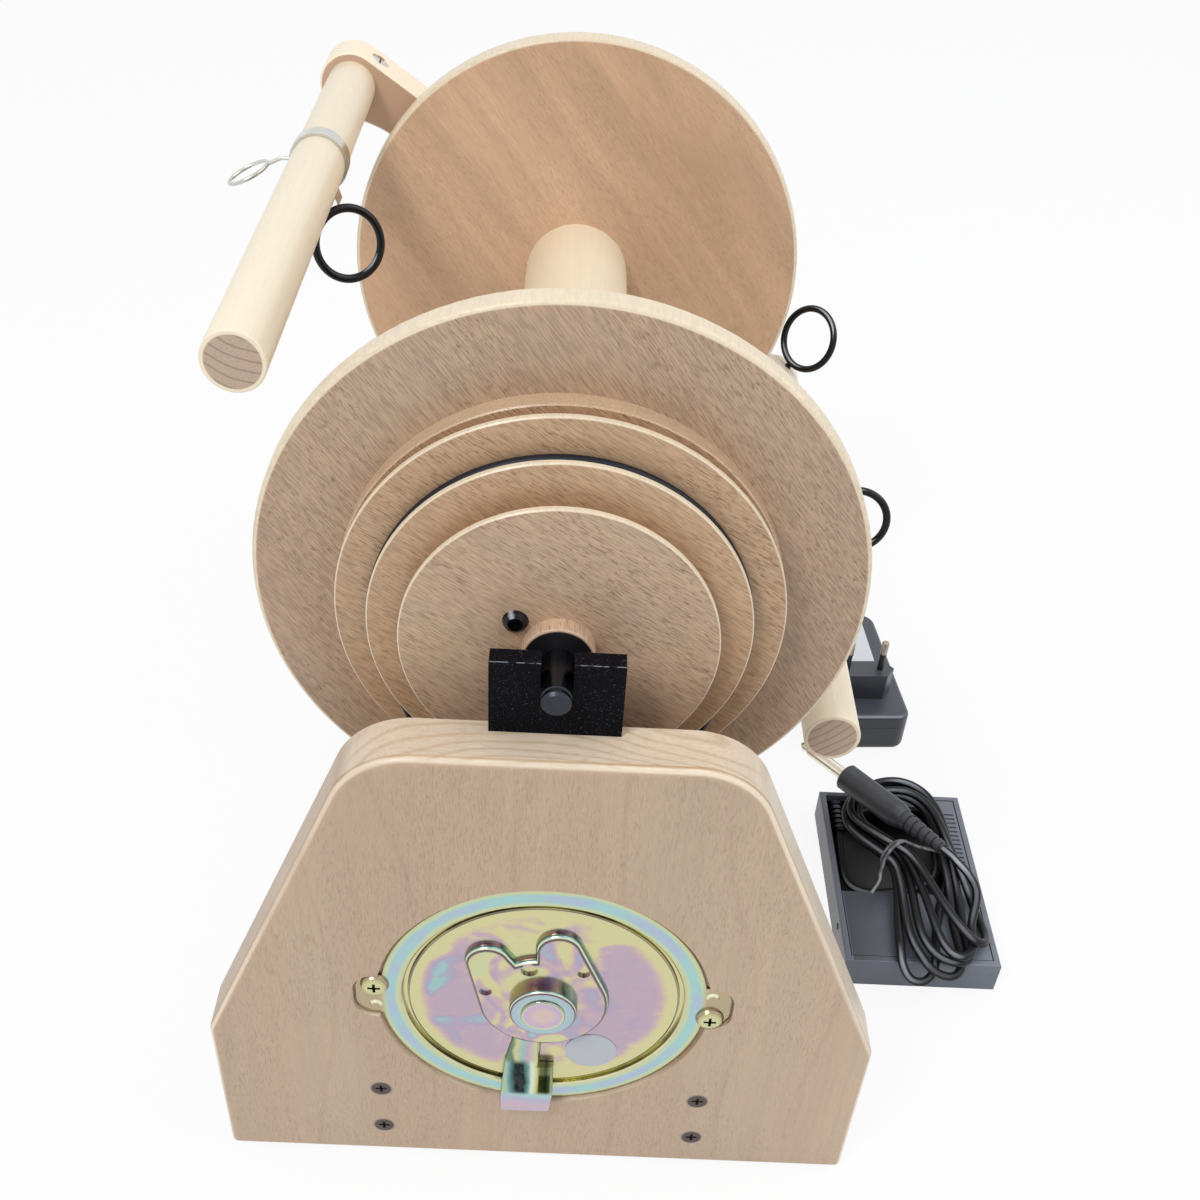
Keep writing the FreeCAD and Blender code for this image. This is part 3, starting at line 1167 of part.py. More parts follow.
def pedal_treadle():
    """Top plate with the window over the cord pocket, its lugs and its trunnions."""
    gap = PEDAL_WALL + TREADLE_GAP
    x0, x1 = PEDAL_X[0] + gap, PEDAL_X[1] - gap
    y0, y1 = PEDAL_Y[0] + gap, PEDAL_Y[1] - gap
    top = PEDAL_H - 0.2
    plate = box((x0, x1), (y0, y1), (top - TREADLE_T, top))
    window = box(WINDOW_X, WINDOW_Y, (0, 30))
    lugs = [box((x, x + 3.0), (PIVOT_Y - 4, PIVOT_Y + 4), (PIVOT_Z - 3, top - 1)) for x in (x0, x1 - 3.0)]
    reach = PEDAL_WALL + TREADLE_GAP + 0.5
    trunnions = [Part.makeCylinder(PIVOT_R, reach, Vector(x, PIVOT_Y, PIVOT_Z), Vector(1, 0, 0))
                 for x in (x0 - reach, x1)]
    notch = box((x0 - 1, GLAND_X + 5.4), (WINDOW_Y[1] - 4, y1 + 1), (0, 30))
    plate = fused([plate.cut(fused([window, notch]))] + lugs + trunnions)
    ribs = []
    for i in range(17):
        y = PEDAL_Y[1] - 14 - 3.1 * i
        ribs.append(box((WINDOW_X[1] + 2.2, WINDOW_X[1] + 8.2), (y - 0.7, y + 0.7), (top - 0.7, top + 1)))
    return plate.cut(group(ribs))


PEDAL_SPRING_X = PEDAL_X[1] - PEDAL_WALL - 6.5
PEDAL_SPRING_Y = 188.0
SWITCH_Y = 158.0
SWITCH_TRAVEL = 1.3


def pedal_spring():
    """Return spring between the tray's floor and the treadle."""
    top = PEDAL_H - 0.2 - TREADLE_T - 0.1
    coils = 7
    pitch = (top - PEDAL_FLOOR - 1.2) / (coils - 1)
    hoops = [Part.makeTorus(2.8, 0.6, Vector(PEDAL_SPRING_X, PEDAL_SPRING_Y, PEDAL_FLOOR + 0.6 + pitch * i))
             for i in range(coils)]
    spine = Part.makeCylinder(2.6, pitch * (coils - 1), Vector(PEDAL_SPRING_X, PEDAL_SPRING_Y, PEDAL_FLOOR + 0.6))
    return fused([spine] + hoops)


def pedal_switch():
    """Switch on the tray's floor, whose plunger the treadle meets at the end of its travel."""
    x = PEDAL_SPRING_X
    body = box((x - 3.5, x + 3.5), (SWITCH_Y - 6, SWITCH_Y + 6), (PEDAL_FLOOR, PEDAL_FLOOR + 6))
    top = PEDAL_H - 0.2 - TREADLE_T - SWITCH_TRAVEL
    return fused([body, Part.makeCylinder(1.6, top - PEDAL_FLOOR - 6, Vector(x, SWITCH_Y, PEDAL_FLOOR + 6))])


GLAND_TAIL_R = 3.6
GLAND_END_Y = PEDAL_Y[1] - 24.0


def pedal_gland():
    """Ribbed strain relief in the pedal's rear wall."""
    start = PEDAL_Y[1] - 0.2
    tail = disc(GLAND_TAIL_R, PEDAL_Y[1] - PEDAL_WALL - 0.5, start, GLAND_X, GLAND_Z)
    ribs = [tail]
    y = PEDAL_Y[1] - PEDAL_WALL - 0.5
    step = (y - GLAND_END_Y) / 6
    for i in range(6):
        ribs.append(disc(4.4 - 0.2 * i, y - step * i - step * 0.62, y - step * i, GLAND_X, GLAND_Z))
    ribs.append(disc(2.9, GLAND_END_Y, y, GLAND_X, GLAND_Z))
    return fused(ribs).cut(disc(CORD_R, GLAND_END_Y - 1, GLAND_END_Y + 6, GLAND_X, GLAND_Z))


# ================================================================ cord and plug
HANK_LOW = PEDAL_H + 0.9
HANK_TOP = HANK_LOW + 18.0
PEDAL_CORD = [Vector(GLAND_X, GLAND_END_Y + 5.5, GLAND_Z), Vector(150.5, 179, 8.5), Vector(151.0, 159.5, 7.5),
              Vector(162.0, 153.6, 7.5), Vector(176, 154.2, 9.5), Vector(189, 153, 15), Vector(198, 159, 21)]


def plug_heading():
    turn = math.radians(JACK_TURN)
    return Vector(math.cos(turn), math.sin(turn), 0)


RELIEF_END = JACK_TIP + plug_heading() * (SHANK_L + HANDLE_L + RELIEF_L)
JACK_CORD = [RELIEF_END - plug_heading() * 6, RELIEF_END + plug_heading() * 6, Vector(203.8, 138.5, 39.5),
             Vector(206.5, 127.0, 34.0), Vector(203.0, 115.5, 28.0)]


def cord_hank():
    """Outer shape of the tied hank, over the front edge of the pedal."""
    outline = [(151, 200), (160, 214), (173, 221), (190, 222), (204, 211), (206, 190), (206, 160), (210, 140),
               (210, 108), (202, 98), (186, 92), (172, 91), (166, 101), (166, 126), (168, 150), (158, 168),
               (151, 184)]
    slab = flat(outline, [8, 8, 8, 9, 10, 12, 20, 12, 8, 6, 6, 5, 6, 12, 12, 14, 10], HANK_LOW, HANK_TOP)
    lip = box((169.5, 190.0), (92.5, PEDAL_Y[0] - 0.5), (11.5, HANK_LOW + 4))
    lip = soften(lip, 3.0, lambda e: e.CenterOfMass.y < 93.0 and e.CenterOfMass.z < HANK_LOW)
    return fused([slab, lip])


def cord_tie():
    """Twist tie round the waist of the hank."""
    z0, z1 = HANK_TOP + SEAT_GAP, HANK_TOP + 2.6
    band = Part.makeBox(9, 2.6, z1 - z0, Vector(166, 160.5, z0))
    tail = Part.makeBox(11, 1.8, 1.8, Vector(157.5, 160.9, z0))
    tail.rotate(Vector(168, 161.8, z0), Vector(0, 0, 1), 38)
    return fused([band, tail])


def along_plug(profile):
    """Turned part on the plug's axis, from (radius, distance from the tip) points."""
    points = [Vector(radius, y, 0) for radius, y in profile]
    shape = Part.Face(Part.makePolygon(points + points[:1])).revolve(Vector(0, 0, 0), Y_AXIS, 360)
    shape.Placement = FreeCAD.Placement(JACK_TIP, FreeCAD.Rotation(Y_AXIS, plug_heading()))
    return shape


def jack_shank():
    """Metal shank with its rounded tip and neck."""
    r = JACK_R
    return along_plug([(0, 0), (1.0, 0.2), (2.6, 2.6), (2.3, 4.2), (2.3, 5.2), (r, 6.4), (r, SHANK_L), (0, SHANK_L)])


def jack_handle():
    """Moulded handle that ends in a ribbed sleeve round the cord."""
    a, b = SHANK_L, SHANK_L + HANDLE_L
    end = b + RELIEF_L
    ribs = 6
    step = RELIEF_L / ribs
    profile = [(0, a), (HANDLE_R - 0.8, a), (HANDLE_R, a + 0.8), (HANDLE_R, b - 5), (HANDLE_R - 1.2, b - 0.8),
               (HANDLE_R - 2.0, b)]
    for i in range(ribs):
        start = b + step * i
        r = 4.8 - 0.3 * i
        profile += [(r, start), (r, start + step * 0.62), (r - 0.9, start + step * 0.7), (r - 0.9, start + step)]
    profile += [(CORD_R, end), (CORD_R, end - 6), (0, end - 6)]
    return along_plug(profile)


# ================================================================ wall adapter
def placed(shape):
    """Turn a piece of the adapter about the middle of its pins."""
    shape.rotate(Vector(PLUG_X, PLUG_Y, 0), Vector(0, 0, 1), ADAPTER_TURN)
    return shape


def adapter_outline(inset):
    half = ADAPTER_W / 2 - inset
    y0, y1 = PLUG_Y - ADAPTER_FRONT + inset, PLUG_Y - ADAPTER_FRONT + ADAPTER_L - inset
    return [(PLUG_X - half, y0), (PLUG_X + half, y0), (PLUG_X + half - 3, y1), (PLUG_X - half + 3, y1)]


def adapter_base():
    """Lower shell of the adapter."""
    shell = flat(adapter_outline(0), [7, 7, 10, 10], 0, ADAPTER_SPLIT - 0.2)
    shell = soften(shell, 4.0, lambda e: e.CenterOfMass.z < 0.01)
    inside = flat(adapter_outline(ADAPTER_FLOOR), [5, 5, 8, 8], ADAPTER_FLOOR, ADAPTER_SPLIT)
    return placed(shell.cut(inside))


def adapter_cover():
    """Upper shell of the adapter, with the raised plug block."""
    shell = flat(adapter_outline(0), [7, 7, 10, 10], ADAPTER_SPLIT, ADAPTER_H)
    shell = soften(shell, 2.5, lambda e: e.CenterOfMass.z > ADAPTER_H - 0.01)
    half_w, half_d = BLOCK_W / 2, BLOCK_D / 2
    flat_w = half_w - half_d * 0.75
    points = [(-half_w, 0), (-flat_w, -half_d), (flat_w, -half_d), (half_w, 0), (flat_w, half_d), (-flat_w, half_d)]
    block = flat([(PLUG_X + a, PLUG_Y + b) for a, b in points], [1.0] * 6, ADAPTER_H - 3, ADAPTER_H + BLOCK_H)
    whole = fused([shell, block])
    inside = flat(adapter_outline(ADAPTER_FLOOR), [5, 5, 8, 8], ADAPTER_SPLIT - 1, ADAPTER_H - ADAPTER_FLOOR)
    roots = [Part.makeCylinder(PIN_NECK_R, PIN_ROOT, Vector(PLUG_X + side * PIN_SPACING / 2, PLUG_Y, ADAPTER_H + BLOCK_H - PIN_ROOT))
             for side in (-1, 1)]
    return placed(whole.cut(inside).cut(group(roots)))


def adapter_pins():
    """Two round mains pins and the insulating sleeves on their lower halves."""
    top = ADAPTER_H + BLOCK_H
    neck = PIN_NECK_R
    solids = []
    for side in (-1, 1):
        foot = Vector(PLUG_X + side * PIN_SPACING / 2, PLUG_Y, top)
        tip = Part.makeCylinder(PIN_R, PIN_L - SLEEVE_L, foot + Vector(0, 0, SLEEVE_L))
        tip = soften(tip, 0.8, lambda e: len(e.Vertexes) == 1 and e.CenterOfMass.z > top + PIN_L - 0.1)
        core = Part.makeCylinder(neck, PIN_ROOT + SLEEVE_L + 1, foot - Vector(0, 0, PIN_ROOT))
        sleeve = Part.makeCylinder(SLEEVE_R, SLEEVE_L, foot)
        solids += [placed(fused([tip, core])), placed(sleeve.cut(core))]
    return group(solids)


def adapter_circuit():
    """Converter board with its transformer, inside the shells."""
    x0, x1 = PLUG_X - ADAPTER_W / 2 + 6, PLUG_X + ADAPTER_W / 2 - 6
    y0 = PLUG_Y + 12
    y1 = PLUG_Y - ADAPTER_FRONT + ADAPTER_L - 8
    plate = box((x0, x1), (y0, y1), (ADAPTER_FLOOR + 1.5, ADAPTER_FLOOR + 3.1))
    core = box((x0 + 5, x1 - 5), (y0 + 4, y0 + 28), (ADAPTER_FLOOR + 3.1, ADAPTER_H - 5))
    cans = [Part.makeCylinder(5, 14, Vector(x, y1 - 10, ADAPTER_FLOOR + 3.1)) for x in (x0 + 9, x1 - 9)]
    studs = [Part.makeCylinder(2.0, 1.5, Vector(x, y, ADAPTER_FLOOR)) for x in (x0 + 4, x1 - 4)
             for y in (y0 + 4, y1 - 4)]
    return placed(fused([plate, core] + cans + studs))


# ================================================================ the model
MODEL = {
    "motor_panel": motor_panel,
    "front_panel": front_panel,
    "rails": lambda: group([rail(-1), rail(1)]),
    "rubber_feet": rubber_feet,
    "frame_screws": lambda: group([frame_screws(0.0, 1), frame_screws(FRONT_FACE_Y, -1)]),
    "shaft_rest": shaft_rest,
    "orifice_plate": orifice_plate,
    "rest_screws": rest_screws,
    "orifice_bearing": orifice_bearing,
    "whorl": lambda: group([whorl_step(0).cut(screw_pocket()), whorl_step(1).cut(screw_pocket()), whorl_large()]),
    "whorl_screw": whorl_screw,
    "bobbin_flanges": lambda: group([bobbin_flange(FLANGE_Y), bobbin_flange(FAR_FLANGE_Y)]),
    "bobbin_core": bobbin_core,
    "bobbin_hub": bobbin_hub,
    "bobbin_bushes": bobbin_bushes,
    "flyer_shaft": flyer_shaft,
    "flyer_crossbar": flyer_crossbar,
    "flyer_arms": lambda: group([flyer_arm(-1, [eye_shank_ends(UPPER_EYE)]),
                                 flyer_arm(1, [eye_shank_ends(LOWER_EYE), eye_shank_ends(LARGE_EYE)])]),
    "arm_screws": arm_screws,
    "screw_eyes": lambda: group([screw_eye(form) for form in (UPPER_EYE, LOWER_EYE, LARGE_EYE)]),
    "orifice_tube": orifice_tube,
    "guide_clip": guide_clip,
    "motor_housing": motor_housing,
    "motor_lead_cover": lead_cover,
    "motor_label": motor_label,
    "motor_screws": motor_screws,
    "motor_end_plate": motor_end_plate,
    "motor_bushes": motor_bushes,
    "motor_magnets": motor_magnets,
    "motor_brushes": motor_brushes,
    "motor_armature": motor_armature,
    "motor_shaft": motor_shaft,
    "motor_pulley": motor_pulley,
    "drive_belt": drive_belt,
    "brake_cord": brake_cord,
    "brake_spring": brake_spring,
    "brake_hook": brake_hook,
    "brake_peg": brake_peg,
    "control_fascia": control_fascia,
    "control_box": control_box,
    "circuit_board": circuit_board,
    "speed_knob": speed_knob,
    "rocker_frame": rocker_frame,
    "direction_rocker": direction_rocker,
    "dc_inlet": dc_inlet,
    "pedal_socket": pedal_socket,
    "pedal_base": pedal_base,
    "pedal_treadle": pedal_treadle,
    "pedal_spring": pedal_spring,
    "pedal_switch": pedal_switch,
    "pedal_gland": pedal_gland,
    "pedal_cord": lambda: group([path_tube(PEDAL_CORD, CORD_R), path_tube(JACK_CORD, CORD_R)]),
    "cord_hank": cord_hank,
    "cord_tie": cord_tie,
    "jack_shank": jack_shank,
    "jack_handle": jack_handle,
    "adapter_base": adapter_base,
    "adapter_cover": adapter_cover,
    "adapter_pins": adapter_pins,
    "adapter_circuit": adapter_circuit,
}

for name, make in MODEL.items():
    save(name, make())
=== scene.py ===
"""Electric yarn spinner: the finishes, the soft pieces and the stage, laid over the fixed frame."""

import math

import bmesh
import bpy
from mathutils import Matrix, Vector


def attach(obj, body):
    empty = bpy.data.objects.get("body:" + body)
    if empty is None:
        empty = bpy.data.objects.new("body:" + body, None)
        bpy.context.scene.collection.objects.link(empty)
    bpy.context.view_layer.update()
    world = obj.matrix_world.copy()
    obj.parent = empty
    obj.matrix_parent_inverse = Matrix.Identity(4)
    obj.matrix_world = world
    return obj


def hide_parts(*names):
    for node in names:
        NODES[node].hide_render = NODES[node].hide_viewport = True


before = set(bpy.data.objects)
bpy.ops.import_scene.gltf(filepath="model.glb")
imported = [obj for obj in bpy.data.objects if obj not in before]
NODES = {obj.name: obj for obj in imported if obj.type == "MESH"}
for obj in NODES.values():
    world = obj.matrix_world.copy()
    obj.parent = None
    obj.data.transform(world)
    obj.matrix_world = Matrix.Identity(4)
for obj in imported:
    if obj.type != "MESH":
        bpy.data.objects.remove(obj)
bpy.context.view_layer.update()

bl_info = {
    "name": "Electric yarn spinner",
    "version": (1, 0, 0),
    "blender": (4, 5, 0),
    "location": "3D View > Sidebar > Yarn spinner",
    "description": "Finishes and soft pieces of an electric yarn spinner with its pedal and adapter",
    "category": "Object",
}

# ---------------------------------------------------------------- places on the fixed frame, in metres
SPINDLE_Z = 0.2477
BETWEEN_FLANGES_Y = 0.2
FLANGE_RIM_R = 0.1063               # where the bare rim of a flange begins
WHORL_RIM_R = 0.0538                # where the bare rim of the whorl's smallest disc begins
WHORL_STEPS = ((0.0345, 0.0115), (0.0423, 0.0116))      # depth of a larger disc, and how much larger it is
FIRST_LIP_BACK = 0.0300
LAST_LIP_BACK = (0.0455, 0.0465)
ARM_OUT, ARM_UP = 0.1088, 0.0745    # middle of the upper left arm from the spindle; the other is opposite
ARM_SAWN_END = 0.0732
ARM_SAWN_R = (0.0093, 0.0098)
ARM_HEARTS = ((-0.098, 0.1027), (0.0768, -0.036))       # middles of the two arms' growth rings
REST_EDGE_Y, REST_EDGE_Z = 0.0057, 0.2575

# screws: how far out they lie, the height half way between them, and how far from it they lie
FRAME_SCREWS = (0.0645, 0.0325, 0.013)
FRAME_SCREW_R = 0.0042
MOTOR_SCREWS = (0.064, 0.10525, 0.00605)
MOTOR_SCREW_CROSS_R = 0.0030
MOTOR_SCREW_CROSS_Y = -0.0110

MOTOR_Z = 0.105
CAN_BOSS_Y = -0.0092
CAN_CUP_Y = -0.0125
CUP_RINGS_R = 0.0035                # where the rings of colour on the cup begin
CAN_RIM_MIDDLE_R = 0.0582
COVER_LEFT, COVER_RIB_LEFT = -0.0159, -0.0111
COVER_LIP_Z = 0.0384

TRAY_MIDDLE_X, TRAY_MIDDLE_Y = 0.17995, 0.149
TRAY_HALF_W, TRAY_HALF_L = 0.0353, 0.0563
TREAD_LEFT, TREAD_Z = 0.1465, 0.0142
PIN_SLEEVE_TOP = (0.0524, 0.0527)
PINS_X, PINS_Y = 0.1723, 0.2841     # half way between the mains pins
ADAPTER_TURN = math.radians(4.0)
ADAPTER_TOP = 0.025
LABEL_PAST_PINS = 0.0441
LABEL_CORNER = 0.0012
LABEL_SINK = 0.00002                # how far the label's foot lies in the cover

# ---------------------------------------------------------------- view and light
VIEW_LENS = 42.57                   # mm, before a sensor 36 mm wide
VIEW_SHIFT = (0.0204, 0.1132)
VIEW_AT = (0.00095, -0.34625, 0.53950)
VIEW_HEADING, VIEW_DIP, VIEW_ROLL = -0.0167, 0.725, 0.0555
LAMPS = (("window", (-0.7, -0.8, 1.6), (0, 0.1, 0.15), 0.5, 13.0),      # name, place, aim, size, power
         ("soft", (1.2, 0.2, 1.6), (0, 0.2, 0.15), 1.6, 12.0))
SKY = (0.93, 0.96, 1.0)
SKY_STRENGTH = 0.62
WHITE = (1.0, 1.0, 1.0)
FLOOR_GLOW = 0.9

# the ways that a piece faces where it gives the window's light back
WINDOW = (-0.313, -0.616, 0.723)
HANDLE_WINDOW = (-0.25, -0.3, 0.92)
ADAPTER_WINDOW = (0.05, -0.68, 0.73)

# ---------------------------------------------------------------- woods and zinc
ALONG_Y = (math.pi / 2, 0, 0)       # a turn that lays the grain along the spindle
ALONG_X = (0, math.pi / 2, 0)
# the first two are painted light and shade: paler upward edges lit from above, and darker left sides
BOARD_LIT_EDGE = (0.80, 0.66, 0.505)
BOARD_SHADED_LEFT = (0.50, 0.35, 0.225)
BOARD_GROWTH = (0.60, 0.45, 0.29)
BOARD_VEIN = (0.40, 0.25, 0.17)
BOARD_ARRIS = (0.46, 0.28, 0.13)
STRAW = (0.67, 0.62, 0.33)
ROSE = (0.57, 0.43, 0.46)
VIOLET = (0.47, 0.38, 0.50)
SLATE = (0.39, 0.44, 0.55)
AQUA = (0.36, 0.56, 0.54)
PLATING = [(0.0, (0.58, 0.64, 0.38)), (0.2, STRAW), (0.42, ROSE), (0.62, VIOLET), (0.78, SLATE), (0.92, AQUA)]
# painted darker reflections on the slopes of small plated parts
SLOPE_REFLECTIONS = [(0.0, (0.10, 0.15, 0.07)), (0.3, (0.22, 0.17, 0.11)), (0.55, (0.20, 0.12, 0.17)),
        (0.8, (0.06, 0.13, 0.14)), (1.0, (0.12, 0.26, 0.25))]
# painted reflections on the can's walls and where its surface turns, by the way they face
CAN_WALL_REFLECTIONS = [(0.0, (0.46, 0.46, 0.18)), (0.22, (0.34, 0.22, 0.20)), (0.40, (0.05, 0.03, 0.05)),
            (0.55, (0.16, 0.10, 0.13)), (0.68, (0.40, 0.34, 0.30)), (0.78, (0.03, 0.08, 0.08)),
            (0.90, (0.36, 0.56, 0.50)), (1.0, (0.10, 0.24, 0.23))]
CAN_TURN_REFLECTIONS = [(0.0, (0.30, 0.30, 0.13)), (0.25, (0.08, 0.15, 0.15)), (0.5, (0.24, 0.44, 0.42)),
            (0.68, (0.82, 0.80, 0.56)), (0.82, (0.08, 0.07, 0.08)), (0.93, (0.24, 0.17, 0.19)),
            (1.0, (0.60, 0.50, 0.42))]
CAN_CUP = [(0.0, (0.66, 0.52, 0.48)), (0.16, (0.64, 0.46, 0.55)), (0.36, (0.54, 0.46, 0.60)),
           (0.42, (0.62, 0.64, 0.40)), (0.55, (0.42, 0.58, 0.58)), (0.8, (0.40, 0.50, 0.60)),
           (0.95, (0.60, 0.60, 0.36))]
CAN_RIM = [(0.0, (0.42, 0.56, 0.64)), (0.4, (0.40, 0.60, 0.58)), (0.72, (0.56, 0.65, 0.40)),
           (1.0, (0.60, 0.58, 0.34))]
# painted reflections across the lead cover's swelling, lip and rib
COVER_SWELL_REFLECTIONS = [(0.0, (0.50, 0.52, 0.26)), (0.10, (0.34, 0.54, 0.48)), (0.20, (0.10, 0.22, 0.22)),
               (0.28, (0.012, 0.02, 0.03)), (0.44, (0.012, 0.018, 0.022)), (0.52, (0.14, 0.32, 0.29)),
               (0.58, (0.72, 0.78, 0.66)), (0.66, (0.60, 0.60, 0.28)), (0.74, (0.16, 0.17, 0.06)),
               (0.88, (0.05, 0.07, 0.03)), (1.0, (0.34, 0.42, 0.22))]
COVER_LIP_REFLECTIONS = [(0.0, (0.36, 0.56, 0.56)), (0.2, (0.46, 0.44, 0.58)), (0.5, (0.60, 0.45, 0.52)),
             (0.8, (0.46, 0.46, 0.60)), (0.95, (0.40, 0.60, 0.58))]
COVER_RIB_REFLECTIONS = [(0.0, (0.16, 0.24, 0.14)), (0.14, (0.60, 0.62, 0.32)), (0.36, (0.34, 0.52, 0.48)),
             (0.58, (0.52, 0.40, 0.50)), (0.82, (0.62, 0.62, 0.34)), (1.0, (0.10, 0.20, 0.18))]


def colour_of(name, what, rgb):
    return bpy.props.FloatVectorProperty(name=name, description=what, subtype="COLOR", size=3,
                                         min=0.0, max=1.0, default=rgb)


def length_of(name, what, metres):
    return bpy.props.FloatProperty(name=name, description=what, subtype="DISTANCE", unit="LENGTH",
                                   min=0.0, default=metres)


class SpinnerColours(bpy.types.PropertyGroup):
    """Colours of the spinner's finishes."""

    board: colour_of("Board", "Beech of the two panels", (0.575, 0.418, 0.285))
    flange: colour_of("Flange", "Face of the rear flange and the whorl", (0.53, 0.37, 0.25))
    far_flange: colour_of("Far flange", "Inner face of the far flange", (0.66, 0.43, 0.27))
    rim: colour_of("Rim", "Bare rim of the flanges and the whorl", (0.80, 0.67, 0.49))
    maple: colour_of("Maple", "Pale maple of the arms, the core and the crossbar", (0.90, 0.78, 0.585))
    end_grain: colour_of("End grain", "Sawn ends of the arms", (0.53, 0.385, 0.285))
    pedal: colour_of("Pedal", "Moulded pedal", (0.145, 0.162, 0.205))
    adapter: colour_of("Adapter", "Moulded adapter", (0.072, 0.081, 0.102))
    cord: colour_of("Cord", "Jacket of the pedal's cord", (0.011, 0.011, 0.0135))


class SpinnerSizes(bpy.types.PropertyGroup):
    """Sizes of the pieces made here."""

    cord: length_of("Cord", "Diameter of the pedal's cord", 0.0042)
    tie: length_of("Tie", "Diameter of the twist tie's wire", 0.0016)
    label: length_of("Label", "Thickness of the adapter's bare label", 0.0002)
    label_width: length_of("Label width", "Width of the adapter's bare label", 0.030)
    label_length: length_of("Label length", "Length of the adapter's bare label", 0.038)


# ---------------------------------------------------------------- finishes
class Paint:
    """A socket of a finish, which Python's own signs can reckon with."""

    def __init__(self, finish, socket):
        self.finish = finish
        self.socket = socket

    def sum(self, operation, *values):
        return self.finish.sum(operation, *values)

    def __add__(self, other):
        return self.sum("ADD", self, other)

    def __radd__(self, other):
        return self.sum("ADD", other, self)

    def __sub__(self, other):
        return self.sum("SUBTRACT", self, other)

    def __rsub__(self, other):
        return self.sum("SUBTRACT", other, self)

    def __mul__(self, other):
        return self.sum("MULTIPLY", self, other)

    def __rmul__(self, other):
        return self.sum("MULTIPLY", other, self)

    def __pow__(self, other):
        return self.sum("POWER", self, other)

    def __lt__(self, other):
        return self.sum("LESS_THAN", self, other)

    def __gt__(self, other):
        return self.sum("GREATER_THAN", self, other)

    def __abs__(self):
        return self.sum("ABSOLUTE", self)

    def step(self, low, high):
        """0 below low, 1 above high, smooth between them."""
        return self.finish.node("ShaderNodeMapRange", {"interpolation_type": "SMOOTHSTEP"},
                                {"Value": self, "From Min": low, "From Max": high})


class Finish:
    """A material in the making: one Principled shader and what feeds it."""

    def __init__(self, name, colour, roughness, metallic=0.0, **uniform):
        self.material = bpy.data.materials.new(name)
        self.material.use_nodes = True
        self.tree = self.material.node_tree
        self.tree.nodes.clear()
        self.surface = self.tree.nodes.new("ShaderNodeOutputMaterial").inputs["Surface"]
        self.shader = self.tree.nodes.new("ShaderNodeBsdfPrincipled")
        self.tree.links.new(self.shader.outputs[0], self.surface)
        self.feed("Base Color", colour)
        self.feed("Roughness", roughness)
        self.feed("Metallic", metallic)
        for socket, value in uniform.items():
            self.feed(socket.replace("_", " "), value)
        self.place = self.node("ShaderNodeTexCoord", out="Object")

    def join(self, value, socket):
        """Link a Paint to a socket, or set the socket to a number, a vector or a colour."""
        if isinstance(value, Paint):
            self.tree.links.new(value.socket, socket)
        elif hasattr(socket.default_value, "__len__") and len(value) < len(socket.default_value):
            socket.default_value = (*value, 1)
        else:
            socket.default_value = value

    def node(self, kind, settings=None, values=None, out=0):
        """Add a node: its settings first, then the values or links of its sockets."""
        made = self.tree.nodes.new(kind)
        for key, value in (settings or {}).items():
            if key == "stops":
                ramp = made.color_ramp
                while len(ramp.elements) < len(value):
                    ramp.elements.new(1.0)
                for element, (place, colour) in zip(ramp.elements, value):
                    element.position = place
                    element.color = (*colour, 1)
            else:
                setattr(made, key, value)
        for key, value in (values or {}).items():
            self.join(value, made.inputs[key])
        return Paint(self, made.outputs[out])

    def sum(self, operation, *values):
        return self.node("ShaderNodeMath", {"operation": operation}, dict(enumerate(values)))

    def feed(self, socket, value):
        self.join(value, self.shader.inputs[socket])

    def axis(self, name, place=None):
        return self.node("ShaderNodeSeparateXYZ", values={0: place or self.place}, out=name)

    def slope(self):
        """The way the surface faces, on the piece's own axes."""
        return self.node("ShaderNodeTexCoord", out="Normal")

    def facing(self, toward):
        """1 where the piece faces a direction, 0 where it lies across it."""
        return self.node("ShaderNodeVectorMath", {"operation": "DOT_PRODUCT"}, {0: self.slope(), 1: toward},
                         out="Value")

    def from_screws(self, screws):
        """Distance from the nearest screw of a group that lies evenly about the middle."""
        out, height, rise = screws
        return apart(abs(self.axis("X")) - out, abs(self.axis("Z") - height) - rise)

    def moved(self, at=(0, 0, 0), turn=(0, 0, 0), size=(1, 1, 1), place=None):
        """The piece's own coordinates, shifted, turned and stretched."""
        return self.node("ShaderNodeMapping", {"vector_type": "POINT"},
                         {"Vector": place or self.place, "Location": at, "Rotation": turn, "Scale": size})

    def noise(self, scale, place=None, detail=2.0, rough=0.5, warp=0.0):
        return self.node("ShaderNodeTexNoise", {"noise_dimensions": "3D"},
                         {"Vector": place or self.place, "Scale": scale, "Detail": detail,
                          "Roughness": rough, "Distortion": warp})

    def wave(self, phase):
        """A sine that runs between 0 and 1."""
        return self.sum("SINE", phase) * 0.5 + 0.5

    def mix(self, share, low, high, blend="MIX"):
        made = self.tree.nodes.new("ShaderNodeMix")
        made.data_type = "RGBA"
        made.blend_type = blend
        self.join(share, made.inputs["Factor"])
        self.join(low, made.inputs[6])
        self.join(high, made.inputs[7])
        return Paint(self, made.outputs[2])

    def washed(self, tone, rgb):
        """A tone multiplied by a colour."""
        return self.mix(1.0, tone, rgb, "MULTIPLY")

    def tinted(self, tone, factor):
        """A colour, or a socket's colour, made darker or lighter."""
        return self.washed(tone, (factor,) * 3) if isinstance(tone, Paint) else shade(tone, factor)

    def ramp(self, share, stops):
        return self.node("ShaderNodeValToRGB", {"stops": stops}, {"Fac": share})

    def bump(self, height, depth, strength=1.0):
        self.feed("Normal", self.node("ShaderNodeBump", values={"Height": height, "Distance": depth,
                                                                "Strength": strength}))


def shade(rgb, factor):
    return tuple(min(1.0, c * factor) for c in rgb)


def apart(x, z):
    """Distance from a middle, given the ways across and up."""
    return (x * x + z * z) ** 0.5


